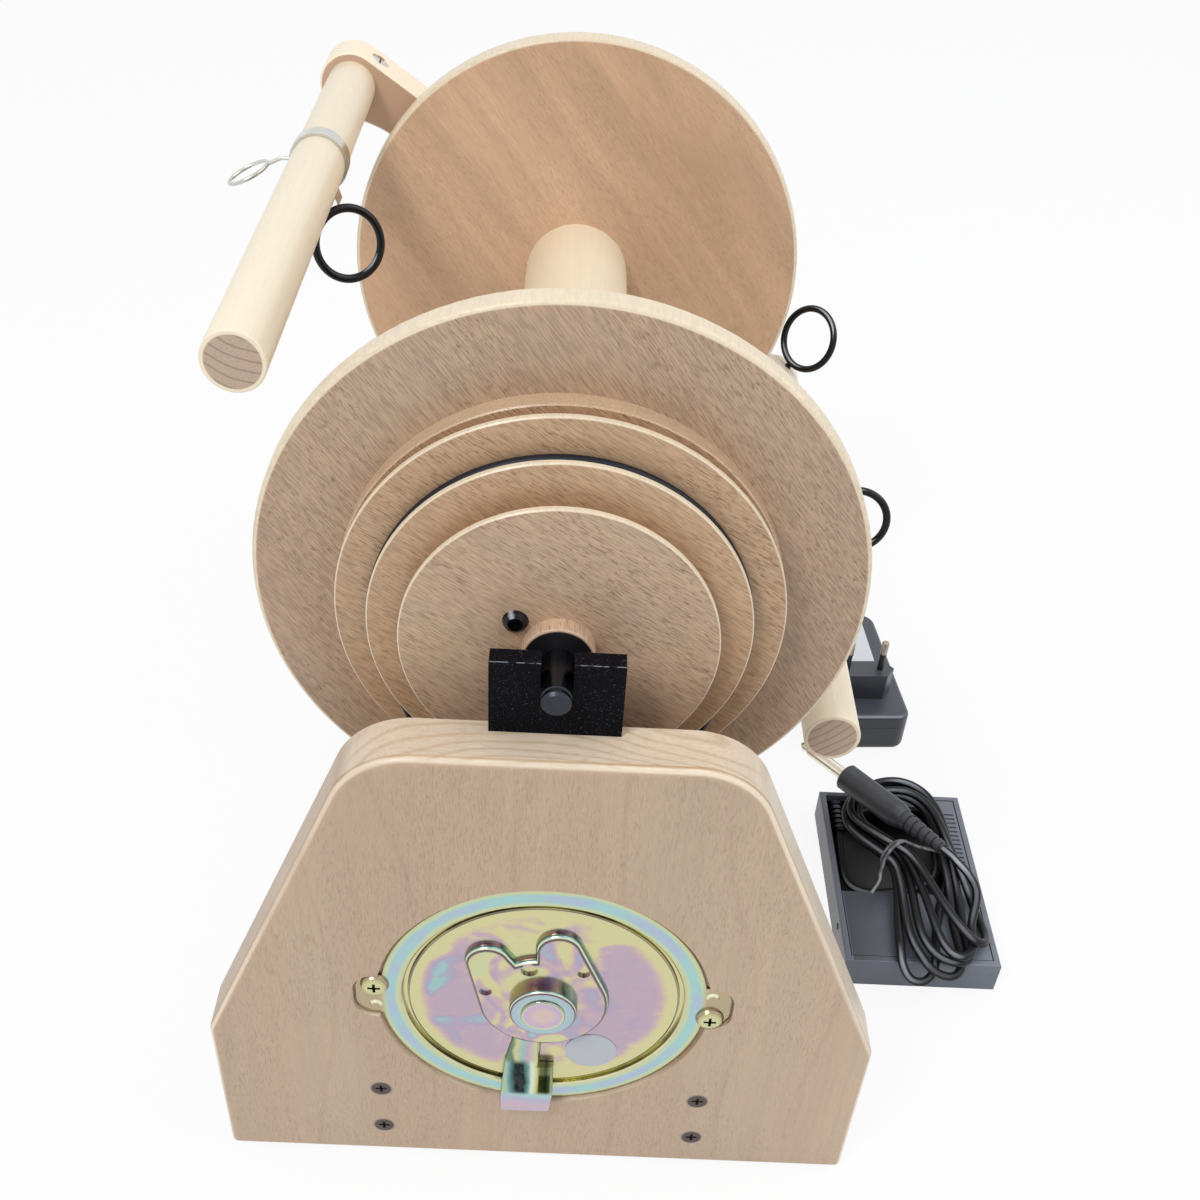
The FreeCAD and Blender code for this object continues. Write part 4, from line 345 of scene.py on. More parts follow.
def beech(name, colour, grain_turn=(0, 0, 0), flecks=0.3, streaks=0.1, fine=1500.0, edge=None, far=None,
          rim=None, rim_from=None, stepped=False):
    """Beech: long soft streaks and short dark flecks along the grain, under a thin satin lacquer.

    The grain runs along the piece's Z after grain_turn. edge is the colour of a board's upward edges, painted
    paler as painted light from above, and far that of the far flange. rim is the colour of turned rims that
    begin at the radius rim_from, and that grow with the discs of the whorl where stepped is set."""
    wood = Finish(name, colour, 0.42, Coat_Weight=0.1, Coat_Roughness=0.3)
    ground, place = colour, wood.moved(turn=grain_turn)
    if far:
        marbled = wood.noise(40.0, wood.moved(size=(1, 1, 0.16), place=place), 3.0, 0.6, 0.5).step(0.35, 0.65)
        beyond = wood.axis("Y") > BETWEEN_FLANGES_Y
        ground = wood.mix(beyond, colour, wood.mix(marbled, shade(far, 0.93), shade(far, 1.09)))
        flecks = (1 - beyond * 0.6) * flecks
    if edge:
        ground, place = board_ground(wood, ground, place, edge)
    tone, mark = grain(wood, place, ground, flecks, streaks, fine)
    if edge:
        tone = board_arris(wood, tone, edge)
    if rim:
        tone = turned_rims(wood, tone, rim, rim_from, stepped)
    wood.feed("Base Color", tone)
    wood.feed("Roughness", 0.36 + mark * 0.16)
    wood.bump(1 - mark, 0.00012, 0.6)
    return wood.material


def board_ground(wood, ground, place, edge):
    """A board's upward edges painted paler and its right sides a little paler as painted light, its left
    sides painted darker as painted shade, the growth lines of its edges, the faint veins of its face, and its
    grain's place.

    On the upward edges the grain runs along X."""
    slope = wood.slope()
    upward = wood.axis("Z", slope).step(0.45, 0.85)
    left = (0 - wood.axis("X", slope)).step(0.6, 0.95)
    right = wood.axis("X", slope).step(0.5, 0.8)
    wander = wood.noise(11.0, wood.moved(size=(1, 2.0, 0.5)), 1.5, 0.4)
    growth = wood.wave((wood.axis("Y") + wander * 0.075) * 1300.0) ** 4.0 * upward
    drift = wood.noise(7.0, wood.moved(size=(1, 1, 0.4)))
    vein = wood.wave((wood.axis("X") + drift * 0.13) * 150.0) ** 140.0 * (1 - upward)
    # painted shade on sides facing left, painted light on sides facing right and on upward edges
    ground = wood.mix(left * 0.9, ground, BOARD_SHADED_LEFT)
    ground = wood.mix(right, ground, shade(edge, 0.92))
    ground = wood.mix(upward, ground, edge)
    ground = wood.mix(growth * 0.6, ground, BOARD_GROWTH)
    ground = wood.mix(vein * 0.17, ground, BOARD_VEIN)
    return ground, wood.mix(upward, place, wood.moved(turn=ALONG_X))


def board_arris(wood, tone, edge):
    """The rounded arris round a board's face: a brown line inside it and, beyond the line, a pale band that
    is a painted highlight.
    """
    facing = abs(wood.axis("Y", wood.slope()))
    line = facing.step(0.06, 0.16) * (1 - facing.step(0.24, 0.42))
    # painted highlight on the glossy rounding
    painted_roundover_highlight = facing.step(0.35, 0.55) * (1 - facing.step(0.78, 0.94))
    gild = wood.noise(30.0, wood.moved(size=(0.4, 1, 0.4)), 2.0).step(0.35, 0.65)
    tone = wood.mix(line * (0.45 + gild * 0.4), tone, BOARD_ARRIS)
    return wood.mix(painted_roundover_highlight * (0.35 + gild * 0.5), tone, shade(edge, 1.15))


def turned_rims(wood, tone, rim, rim_from, stepped):
    """The pale rims of turned discs. The whorl is golden behind its first lip, and its last rim is plain."""
    y = wood.axis("Y")
    reach = apart(wood.axis("X"), wood.axis("Z") - SPINDLE_Z)
    if stepped:
        for depth, growth in WHORL_STEPS:
            reach = reach - (y > depth) * growth
    bare = reach.step(rim_from - 0.0006, rim_from - 0.0001)
    if stepped:
        bare = bare * (1 - y.step(*LAST_LIP_BACK) * 0.75)
        tone = wood.mix((y > FIRST_LIP_BACK) * 0.8, tone, wood.washed(tone, (1.0, 0.93, 0.80)))
    hatch = wood.noise(900.0, wood.moved(size=(1, 0.12, 1)), 2.0, 0.6).step(0.4, 0.66)
    return wood.mix(bare, tone, wood.mix(hatch * 0.4, rim, shade(rim, 0.8)))


def grain(wood, place, ground, flecks, streaks, fine=1500.0):
    """The tone of the wood over its ground, and how deep its marks are."""
    def drawn(share, at=(0, 0, 0)):
        return wood.moved(at=at, size=(1, 1, share), place=place)

    board = wood.noise(11.0, drawn(0.12), 2.0, 0.5, 0.3).step(0.3, 0.7)
    blush = wood.noise(17.0, drawn(0.1, (3, 1, 2)), 2.0).step(0.42, 0.66)
    streak = wood.noise(95.0, drawn(0.05), 3.0, 0.6).step(0.35, 0.7)
    line = wood.noise(520.0, drawn(0.04), 2.0, 0.6).step(0.4, 0.68)
    hatch = wood.noise(fine * 1.25, drawn(0.055, (1, 2, 3)), 1.0, 0.5)
    fleck = wood.noise(fine, drawn(0.12), 1.0, 0.5).step(0.61, 0.66)
    crowd = wood.noise(45.0, drawn(0.4), 2.0).step(0.30, 0.55)
    mark = fleck * crowd
    tone = wood.mix(board, wood.tinted(ground, 0.93), wood.tinted(ground, 1.05))
    tone = wood.mix(blush, tone, wood.washed(tone, (1.0, 0.95, 0.93)))
    tone = wood.mix(streak * streaks * 4, tone, wood.tinted(ground, 0.84))
    tone = wood.mix(line * streaks * 3, tone, wood.tinted(ground, 0.80))
    tone = wood.mix(hatch.step(0.50, 0.60) * flecks * 0.7, tone, wood.tinted(ground, 0.54))
    tone = wood.mix((1 - hatch.step(0.36, 0.46)) * flecks * 0.35, tone, wood.tinted(ground, 1.25))
    tone = wood.mix(mark * flecks * 0.85, tone, wood.washed(ground, (0.42, 0.34, 0.27)))
    return tone, mark


def maple(name, colour, grain_turn, end=None, front=None):
    """Pale maple with faint long streaks.

    end is the colour of the sawn ends of the two arms, and front the colour of the crossbar's flat face,
    darker than the rest as painted shade."""
    wood = Finish(name, colour, 0.38, Coat_Weight=0.15, Coat_Roughness=0.3)
    ground = colour
    if front:
        # painted shade: the crossbar's flat face, which lies in shade, takes the darker front colour
        ground = wood.mix((0 - wood.axis("Y", wood.slope())).step(0.86, 0.97), colour, front)
    tone, mark = grain(wood, wood.moved(turn=grain_turn), ground, 0.04, 0.04)
    if end:
        x, z = wood.axis("X"), wood.axis("Z") - SPINDLE_Z
        reach = wood.sum("MINIMUM", apart(x + ARM_OUT, z - ARM_UP), apart(x - ARM_OUT, z + ARM_UP))
        bend = wood.sum("MINIMUM", *(apart(x - across, z - up) for across, up in ARM_HEARTS))
        ring = wood.wave(bend * 1750 + wood.noise(60.0) * 5)
        pore = wood.noise(2300.0, detail=1.0)
        sawn = wood.mix(ring.step(0.84, 1.0) * 0.6, end, shade(end, 0.42))
        sawn = wood.mix(pore.step(0.52, 0.66) * 0.5, sawn, shade(end, 0.6))
        tone = wood.mix((wood.axis("Y") < ARM_SAWN_END) * (1 - reach.step(*ARM_SAWN_R)), tone, sawn)
    wood.feed("Base Color", tone)
    wood.feed("Roughness", 0.34 + mark * 0.1)
    wood.bump(1 - mark, 0.00005, 0.4)
    return wood.material


def plastic(name, colour, roughness=0.45, grain_scale=2600.0, depth=0.00006, specks=0.3, spark=None,
            edge=0.0, gleam=None, painted_light=None, **uniform):
    """Moulded plastic: a fine eroded grain, pale specks and faint handling marks.

    spark is the colour of its specks, edge how far its rounded corners are painted paler, as wear and as a
    painted highlight, and gleam a direction with the span and the colour of the light it gives back. touch,
    where given, paints light and shade on the piece by its place."""
    skin = Finish(name, colour, roughness, **uniform)
    rub = skin.noise(38.0, detail=4.0, rough=0.65, warp=0.4)
    speck = skin.noise(1500.0, detail=3.0, rough=0.7)
    tone = skin.mix(rub.step(0.45, 0.75) * 0.5, shade(colour, 0.9), shade(colour, 1.22))
    if edge:
        slope = skin.slope()
        x, y, z = (abs(skin.axis(way, slope)) for way in "XYZ")
        straight = skin.sum("MAXIMUM", x, skin.sum("MAXIMUM", y, z))
        # rounded corners painted paler: wear, and a painted highlight on the fillets
        tone = skin.mix((1 - straight.step(0.74, 0.95)) * edge * (0.4 + rub), tone, shade(colour, 2.4))
    if gleam:
        toward, low, high, light = gleam
        tone = skin.mix(skin.facing(toward).step(low, high) * (0.25 + rub), tone, light)
    tone = skin.mix(speck.step(0.58, 0.74) * specks, tone, spark or shade(colour, 2.0))
    # painted light and shade laid by place, where the piece has them
    skin.feed("Base Color", painted_light(skin, tone) if painted_light else tone)
    skin.feed("Roughness", roughness - 0.08 + rub * 0.16)
    skin.bump(skin.noise(grain_scale, detail=2.0), depth, 0.6)
    return skin.material


def tray_shade(skin, tone):
    """Painted shade and light on the pedal: its hollow is painted nearly black, its tread darker to the left
    and paler to the right.
    """
    x, y, z = skin.axis("X"), skin.axis("Y"), skin.axis("Z")
    inside = (abs(x - TRAY_MIDDLE_X) < TRAY_HALF_W) * (abs(y - TRAY_MIDDLE_Y) < TRAY_HALF_L) * (z < TREAD_Z)
    level = skin.axis("Z", skin.slope()).step(0.6, 0.9) * (z > TREAD_Z)
    left = (1 - (x + (TRAY_MIDDLE_Y - y) * 0.15).step(0.146, 0.190)) * level * (x > TREAD_LEFT)
    right = x.step(0.176, 0.205) * level
    # painted light on the tread's right, then painted shade on its left and in the hollow
    tone = skin.mix(right * 0.6, tone, (0.22, 0.235, 0.275))
    return skin.mix(inside, skin.mix(left * 0.8, tone, (0.014, 0.017, 0.024)), (0.003, 0.003, 0.004))


def rest_edge_highlight(skin, tone):
    """The rest's upper front edge is painted paler in broken patches: a painted highlight."""
    highlight_patches = skin.noise(420.0, detail=2.0).step(0.42, 0.56)
    line = (skin.axis("Z") > REST_EDGE_Z) * (skin.axis("Y") < REST_EDGE_Y)
    return skin.mix(line * highlight_patches * 0.6, tone, (0.30, 0.31, 0.34))


def case_shade(skin, tone):
    """The adapter's upright faces are painted darker than its tops, in soft clouds: painted shade."""
    upright = 1 - skin.axis("Z", skin.slope()).step(0.3, 0.6)
    cloud = skin.noise(30.0, skin.moved(size=(0.4, 1, 1)), 2.0)
    return skin.mix(upright * (0.35 + cloud * 0.5), tone, (0.010, 0.011, 0.014))


def rubber(name, colour):
    """The cord's soft jacket: a satin skin with pale scuffs and streaks of window light."""
    skin = Finish(name, colour, 0.35, Specular_IOR_Level=0.22)
    scuff = skin.noise(210.0, detail=4.0, rough=0.7, warp=0.5)
    patchy = skin.noise(24.0, detail=2.0).step(0.38, 0.66)
    tone = skin.mix(scuff.step(0.5, 0.72) * 0.5, colour, shade(colour, 2.2))
    streak = skin.facing(WINDOW).step(0.80, 0.98)
    skin.feed("Base Color", skin.mix(streak * (0.15 + patchy * 0.75), tone, (0.50, 0.53, 0.60)))
    skin.feed("Roughness", 0.30 + scuff * 0.14)
    skin.bump(skin.noise(2800.0, detail=2.0), 0.00003, 0.5)
    return skin.material


def tie_plastic():
    """Grey plastic round the tie's wire."""
    skin = Finish("tie_plastic", (0.20, 0.21, 0.23), 0.36)
    twist = skin.noise(420.0, skin.moved(size=(1, 0.4, 1)), 2.0)
    skin.feed("Base Color", skin.mix(twist.step(0.35, 0.65), (0.09, 0.093, 0.102), (0.27, 0.28, 0.30)))
    skin.feed("Roughness", 0.28 + twist * 0.2)
    skin.bump(twist, 0.00015, 0.5)
    return skin.material


def paper(name, colour):
    """A bare paper label with a faint tooth and a worn lacquer."""
    sheet = Finish(name, colour, 0.5)
    fibre = sheet.noise(1800.0, detail=4.0, rough=0.7)
    wear = sheet.noise(70.0, detail=4.0, rough=0.6)
    tone = sheet.mix(wear.step(0.45, 0.75) * 0.4, colour, shade(colour, 0.88))
    sheet.feed("Base Color", sheet.mix(fibre.step(0.5, 0.7) * 0.2, tone, shade(colour, 0.8)))
    sheet.feed("Roughness", 0.42 + wear * 0.16)
    sheet.bump(fibre, 0.00003, 0.4)
    return sheet.material


def steel(name, colour, roughness=0.3, lines="Y", worn=0.5):
    """Worked steel: tool lines along one axis, or none, and small stains."""
    bar = Finish(name, colour, roughness, 1.0)
    squeeze = tuple(0.03 if axis == lines else 1 for axis in "XYZ")
    line = bar.noise(2400.0, bar.moved(size=squeeze), 2.0)
    stain = bar.noise(60.0, detail=4.0, rough=0.6)
    tone = bar.mix(stain.step(0.45, 0.75) * worn, colour, shade(colour, 0.62))
    bar.feed("Base Color", bar.mix(line.step(0.4, 0.7) * 0.3, tone, shade(colour, 1.3)))
    bar.feed("Roughness", roughness + stain.step(0.4, 0.8) * 0.15 + (line - 0.5) * 0.12)
    bar.bump(line, 0.00003, 0.4)
    return bar.material


def blackened(name, colour, screws=None, head_r=None):
    """Blackened steel with brown bloom, and a pale ring round each countersunk head, painted as wear and as a
    painted highlight.
    """
    head = Finish(name, colour, 0.42, 0.8)
    bloom = head.noise(900.0, detail=4.0, rough=0.7)
    tone = head.mix(bloom.step(0.45, 0.7) * 0.6, colour, (0.09, 0.06, 0.05))
    if screws:
        # a pale ring on each head's rim: wear, and a painted highlight
        bright = head.from_screws(screws).step(head_r - 0.0004, head_r)
        tone = head.mix(bright * (0.6 + bloom * 0.4), tone, (0.42, 0.36, 0.31))
    head.feed("Base Color", tone)
    head.feed("Roughness", 0.34 + bloom * 0.25)
    head.bump(bloom, 0.00005, 0.4)
    return head.material


def plated_can():
    """Yellow zinc on the motor's can: an aqua rim with a painted reflection of the sky, straw near the wall,
    rose and violet clouds on the pan, and painted reflections on its walls.
    """
    coat = Finish("plated_can", STRAW, 0.2, 0.92)
    x, y, z = coat.axis("X"), coat.axis("Y"), coat.axis("Z") - MOTOR_Z
    reach = apart(x, z)
    cloud = coat.noise(38.0, coat.moved(at=(0.02, 0, 0.05), size=(0.85, 1, 1)), 4.0, 0.55, 0.25)
    patch = coat.noise(44.0, coat.moved(at=(0.3, 0.1, 0.2), size=(0.85, 1, 1)), 3.0, 0.5, 0.25)
    fine = coat.noise(420.0, coat.moved(size=(0.5, 1, 1)), 3.0, 0.6)

    # the pan, and the boss and the cup that stand on it
    open_pan = 1 - reach.step(0.0420, 0.0490)
    clouds = (cloud.step(0.40, 0.52) * 0.36 + patch.step(0.50, 0.68) * 0.42) * open_pan
    tone = coat.ramp(0.17 + clouds + (fine - 0.5) * 0.18, PLATING)
    swirl = coat.noise(60.0, coat.moved(at=(0.1, 0.7, 0.4), size=(1, 1, 0.7)), 2.0, 0.5, 1.2)
    boss = coat.ramp(0.42 + (swirl - 0.5) * 2.4 + (fine - 0.5) * 0.1, PLATING)
    tone = coat.mix((y < CAN_BOSS_Y) * (1 - reach.step(0.040, 0.043)), tone, boss)
    rings = coat.ramp((reach - CUP_RINGS_R) * 95.0 + (fine - 0.5) * 0.1 + (cloud - 0.5) * 0.2, CAN_CUP)
    tone = coat.mix((y < CAN_CUP_Y) * (1 - reach.step(0.0136, 0.0142)), tone, rings)

    # the rim, which carries a painted reflection of the sky at its middle and turns brown at the ears
    band = abs(reach - CAN_RIM_MIDDLE_R) * 250.0 + (cloud - 0.5) * 0.7
    # painted reflection of the sky
    sky = coat.mix(patch.step(0.4, 0.6), (0.44, 0.52, 0.66), (0.38, 0.62, 0.60))
    rim = coat.mix(1 - band.step(0.2, 0.6), coat.ramp(band, CAN_RIM), sky)
    rim = coat.mix(abs(x).step(0.0590, 0.0630), rim, (0.47, 0.39, 0.25))
    on_rim = reach.step(0.0534, 0.0540)
    tone = coat.mix(on_rim, tone, rim)

    # the walls between them, where the surface turns away from the front: painted reflections, with painted
    # shade and reflection in the groove by the rim
    slope = coat.slope()
    flat, sideways = 0 - coat.axis("Y", slope), coat.axis("X", slope)
    turned = coat.ramp(flat + (cloud - 0.5) * 0.12, CAN_TURN_REFLECTIONS)
    wall = coat.ramp(sideways * 0.5 + 0.5 + (cloud - 0.5) * 0.25, CAN_WALL_REFLECTIONS)
    wall_reflections = coat.mix(1 - flat.step(0.10, 0.22), turned, wall)
    # painted shade and reflection in the groove by the rim
    groove = coat.mix(patch.step(0.4, 0.6), (0.50, 0.47, 0.20), (0.22, 0.20, 0.09))
    wall_reflections = coat.mix(reach.step(0.0508, 0.0520) * (1 - on_rim), wall_reflections, groove)
    coat.feed("Base Color", coat.mix(1 - flat.step(0.93, 0.99), tone, wall_reflections))
    coat.feed("Roughness", 0.13 + fine * 0.12)
    coat.bump(fine, 0.00004, 0.3)
    return coat.material


def plated_cover():
    """Yellow zinc on the pressed cover of the leads, with painted reflections laid by place: from below, on
    its lip, its swelling and its rib.
    """
    coat = Finish("plated_cover", STRAW, 0.18, 0.92)
    cloud = coat.noise(80.0, detail=3.0, rough=0.55, warp=0.6) - 0.5
    fine = coat.noise(420.0, detail=3.0, rough=0.6)
    x, z = coat.axis("X"), coat.axis("Z")
    # painted reflections by place
    lip = coat.ramp((z - COVER_LIP_Z) * 60.0 + cloud * 0.3, COVER_LIP_REFLECTIONS)
    swell = coat.ramp((x - COVER_LEFT) * 47.6 + cloud * 0.16, COVER_SWELL_REFLECTIONS)
    rib = coat.ramp((x - COVER_RIB_LEFT) * 89.0 + cloud * 0.5, COVER_RIB_REFLECTIONS)
    tone = coat.mix(z.step(0.0545, 0.0562), lip, swell)
    tone = coat.mix(z.step(0.0660, 0.0690), tone, rib)
    coat.feed("Base Color", coat.mix((fine - 0.4) * 0.3, tone, (0.55, 0.55, 0.42)))
    coat.feed("Roughness", 0.12 + fine * 0.12)
    coat.bump(fine, 0.00004, 0.3)
    return coat.material


def plated(name, start, spread, screws=None):
    """Yellow zinc on a small part: its film starts at a place of the colours and spreads round it, and its
    slopes carry darker painted reflections.

    Each of the screws has its cross recess painted dark as painted shade."""
    coat = Finish(name, STRAW, 0.24, 0.92)
    cloud = coat.noise(60.0, coat.moved(size=(0.8, 1, 1)), 3.0, 0.6, 1.0)
    fine = coat.noise(500.0, detail=3.0, rough=0.6)
    tone = coat.ramp(start + (cloud - 0.5) * spread + (fine - 0.5) * 0.1, PLATING)
    flat = abs(coat.axis("Y", coat.slope()))
    # painted reflections on slopes that turn away from the front
    tone = coat.mix((1 - flat.step(0.4, 0.9)) * 0.75, tone, coat.ramp(cloud, SLOPE_REFLECTIONS))
    if screws:
        reach = coat.from_screws(screws)
        tone = coat.mix(reach.step(MOTOR_SCREW_CROSS_R, 0.0046) * 0.45, tone, (0.40, 0.30, 0.16))
        # painted shade in each cross recess
        cross = (reach < MOTOR_SCREW_CROSS_R) * (coat.axis("Y") > MOTOR_SCREW_CROSS_Y)
        tone = coat.mix(cross, tone, (0.015, 0.012, 0.008))
    coat.feed("Base Color", tone)
    coat.feed("Roughness", 0.18 + fine * 0.16)
    coat.bump(fine, 0.00004, 0.3)
    return coat.material


def pin_metal():
    """The mains pins: bare tips above black sleeves."""
    pin = Finish("pin_metal", (0.40, 0.33, 0.27), 0.34, 0.9)
    line = pin.noise(1800.0, pin.moved(size=(1, 1, 0.05)), 2.0)
    bare = pin.axis("Z").step(*PIN_SLEEVE_TOP)
    metal = pin.mix(line.step(0.35, 0.65), (0.34, 0.29, 0.24), (0.50, 0.44, 0.37))
    pin.feed("Base Color", pin.mix(bare, (0.013, 0.014, 0.017), metal))
    pin.feed("Metallic", bare * 0.9)
    pin.feed("Roughness", 0.42 - bare * 0.1 + line * 0.06)
    pin.bump(line, 0.00003, 0.3)
    return pin.material


def dress(finish, *names):
    """Put a finish on CAD nodes."""
    for name in names:
        materials = NODES[name].data.materials
        if not materials:
            materials.append(finish)
        for i in range(len(materials)):
            materials[i] = finish


# ---------------------------------------------------------------- mesh work
def calm():
    """Leave edit mode and select nothing."""
    if bpy.context.object and bpy.context.object.mode != "OBJECT":
        bpy.ops.object.mode_set(mode="OBJECT")
    bpy.ops.object.select_all(action="DESELECT")


def pick(piece):
    """Select one piece and make it the active one."""
    calm()
    bpy.context.view_layer.objects.active = piece
    piece.select_set(True)
    return piece


def settle(piece, name, finish, body):
    """Name a finished piece, put its place into its mesh, and hand it to its body."""
    pick(piece)
    bpy.ops.object.transform_apply(location=True, rotation=True, scale=True)
    piece.name = name
    piece.data.name = name
    piece.data.materials.clear()
    piece.data.materials.append(finish)
    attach(piece, body)
    calm()
    return piece


# ---------------------------------------------------------------- the cord's route, in millimetres
GLAND_RUN = [
    (151.5, 188.5, 10.5), (150.5, 168.5, 8.5), (151, 149, 7.5), (162, 143.1, 7.5), (176, 143.7, 9.5),
    (187, 143, 13.5)]
FIRST_TURN = [
    (195.5, 148, 18), (197, 161.5, 20.4), (195, 176.5, 20.6), (188, 188.5, 20.6), (177, 193.5, 21),
    (165, 190.5, 21.5), (156.2, 184.1, 22.5), (154.3, 174.4, 23), (158, 165.5, 23.5), (164.5, 158.1, 24.5),
    (169.5, 151.5, 25.3), (172.4, 144.8, 24.8), (172.5, 133.2, 23.5), (170.6, 118.2, 22.5),
    (169.3, 104.8, 21.8), (168.7, 95.5, 21.4), (169, 88, 18.5), (172.6, 82.7, 14.4), (179.2, 82.3, 13.4),
    (184, 86.1, 15.4), (185.2, 91.1, 19.6), (186.4, 99.5, 19.8), (189.4, 113.5, 19.8), (193.5, 127.5, 19.8)]
SECOND_TURN = [
    (201.5, 147.1, 20.8), (203.3, 159, 22), (203.5, 170.7, 23.2), (202.8, 182.3, 24.2), (200.3, 193.3, 25),
    (195.3, 202.2, 25.5), (187.6, 206.9, 26), (177.8, 206.5, 26.5), (167.6, 202.4, 26.8), (157.7, 194, 27),
    (151.6, 183.4, 27), (151.6, 172.3, 27.5), (156.1, 164.5, 28), (162, 156.5, 29), (167.4, 149.9, 30),
    (172, 144.1, 29.5), (173.3, 134.5, 28), (173.5, 123.1, 26), (173.3, 110.9, 24.5), (174.6, 99.5, 23.2),
    (178.3, 90.7, 21.8), (181, 86.2, 20.3), (186.5, 83.7, 17.8), (192.8, 83.4, 16.8), (197, 87.5, 17.6),
    (198, 93.5, 19.7), (197.7, 101.5, 19.8), (197.2, 113.5, 19.9), (197.8, 127.5, 22.2)]
THIRD_TURN = [
    (198.1, 141.2, 25.2), (197.4, 151.2, 26.2), (197.1, 162.5, 26), (196.8, 174, 26), (194.9, 184.9, 26),
    (190.2, 193.4, 26.2), (182.7, 196.8, 26.8), (174.1, 196.3, 27.2), (165.2, 193.3, 27.2),
    (158.5, 187.5, 27), (156.1, 179.5, 26), (160.5, 172.4, 25.4), (167.2, 165.7, 25.4),
    (172.3, 159.1, 25.8), (176.7, 150.5, 26), (178.6, 139, 26), (178.4, 122.9, 26.5), (178.3, 110, 25.8),
    (179.6, 99.5, 25), (183.4, 92.3, 24), (187.6, 88.7, 23.4), (194.4, 87.1, 22.7), (199.9, 89.9, 21.4),
    (202.2, 97, 20), (201.9, 113.5, 19.8), (202.6, 131.5, 21.5)]
FOURTH_TURN = [
    (202.2, 146.2, 24.5), (201.9, 153.8, 26.6), (201.7, 163, 28), (201.1, 173.5, 29), (199.4, 184.3, 29.8),
    (195.9, 194.3, 30), (190.1, 200.9, 30.2), (182.5, 203.8, 30.6), (173.7, 202.6, 31),
    (164.5, 197.5, 31.3), (156.8, 189.1, 31.6), (153.1, 180.1, 31.8), (154.6, 172.4, 32),
    (159.4, 165.6, 33), (165.3, 159.2, 33.8), (171.2, 153.7, 34.2), (177, 149, 34.2), (181.7, 140.6, 34.2),
    (185.3, 129.5, 34.2), (189.1, 117.5, 34), (193.1, 106.7, 33.5), (198, 98.7, 32), (203.5, 95.2, 28.8),
    (209.3, 98.6, 24.6), (211.5, 107.8, 21), (210.8, 116.9, 20), (209.6, 125.3, 20)]
FIFTH_TURN = [
    (208.6, 134.4, 20.8), (206, 140, 25.5), (203.3, 145.9, 29), (201, 153.1, 31), (199.4, 160.8, 32.3),
    (198, 170, 33), (195.6, 179.6, 33.4), (191.3, 187.8, 33.4), (185, 192.7, 33.4), (176.7, 193.4, 33.4),
    (168, 191.1, 33.3), (160.7, 185.8, 32.8), (157.3, 179.7, 31), (158.5, 172.5, 29.8),
    (163.3, 166.8, 29.7), (168.8, 161.6, 30), (174.2, 156.6, 30), (178.3, 147.8, 30), (181, 137.4, 30),
    (183.2, 124.6, 29.6), (184.7, 112, 29), (186.2, 101.5, 28.2), (188.1, 94.1, 27.4), (191.9, 88.7, 26.6),
    (197.5, 88.2, 25.8), (202.3, 94, 25.3), (203.3, 101.3, 25.4), (203.8, 108.1, 26), (205.5, 114.1, 28),
    (207.5, 119.5, 31.5)]
PLUG_RUN = [
    (207.1, 124.1, 36), (203.1, 128.9, 40.5), (198, 134.2, 43), (195.6, 138.5, 43.5), (188.5, 146.9, 43.5)]
CORD_ROUTE = (GLAND_RUN + FIRST_TURN + SECOND_TURN + THIRD_TURN + FOURTH_TURN + FIFTH_TURN
              + PLUG_RUN)
TIE_WIRE = [
    (194.4, 144.5, 38.4), (188, 146.3, 38.3), (181, 148.5, 38), (176.5, 151.5, 38.2), (172.3, 152.3, 37.6),
    (168, 149.8, 35.5), (165.2, 146.6, 31.5), (165.4, 146.2, 26.8), (168.5, 149.3, 23.2),
    (173, 153.6, 22.4), (177.4, 157.2, 25.2), (179.3, 156.6, 31), (178, 154, 35.8), (173.9, 151, 38.2),
    (169.2, 148.2, 36.2), (166.2, 144.6, 31.8), (165.3, 142.5, 28.6), (164, 139.5, 27.2),
    (163.6, 135.2, 26.6), (161, 131, 26), (158.2, 127.2, 25.4)]


def lay_curve(name, route, thickness):
    """A smooth round cord or wire along a route in millimetres."""
    data = bpy.data.curves.new(name, "CURVE")
    data.dimensions = "3D"
    data.resolution_u = 8
    data.bevel_depth = thickness / 2
    data.bevel_resolution = 5
    data.use_fill_caps = True
    spline = data.splines.new("NURBS")
    spline.points.add(len(route) - 1)
    for point, (x, y, z) in zip(spline.points, route):
        point.co = (x / 1000, y / 1000, z / 1000, 1)
    spline.order_u = 3
    spline.use_endpoint_u = True
    piece = bpy.data.objects.new(name, data)
    bpy.context.scene.collection.objects.link(piece)
    return piece


# ---------------------------------------------------------------- the stage
def set_view(scene):
    """The camera, before the motor panel and looking down on it."""
    eye = bpy.data.cameras.new("view")
    eye.sensor_width = 36.0
    eye.lens = VIEW_LENS
    eye.shift_x, eye.shift_y = VIEW_SHIFT
    eye.clip_start = 0.01
    camera = bpy.data.objects.new("view", eye)
    scene.collection.objects.link(camera)
    camera.matrix_world = (Matrix.Translation(VIEW_AT) @ Matrix.Rotation(VIEW_HEADING, 4, "Z")
                           @ Matrix.Rotation(math.pi / 2 - VIEW_DIP, 4, "X")
                           @ Matrix.Rotation(VIEW_ROLL, 4, "Z"))
    scene.camera = camera


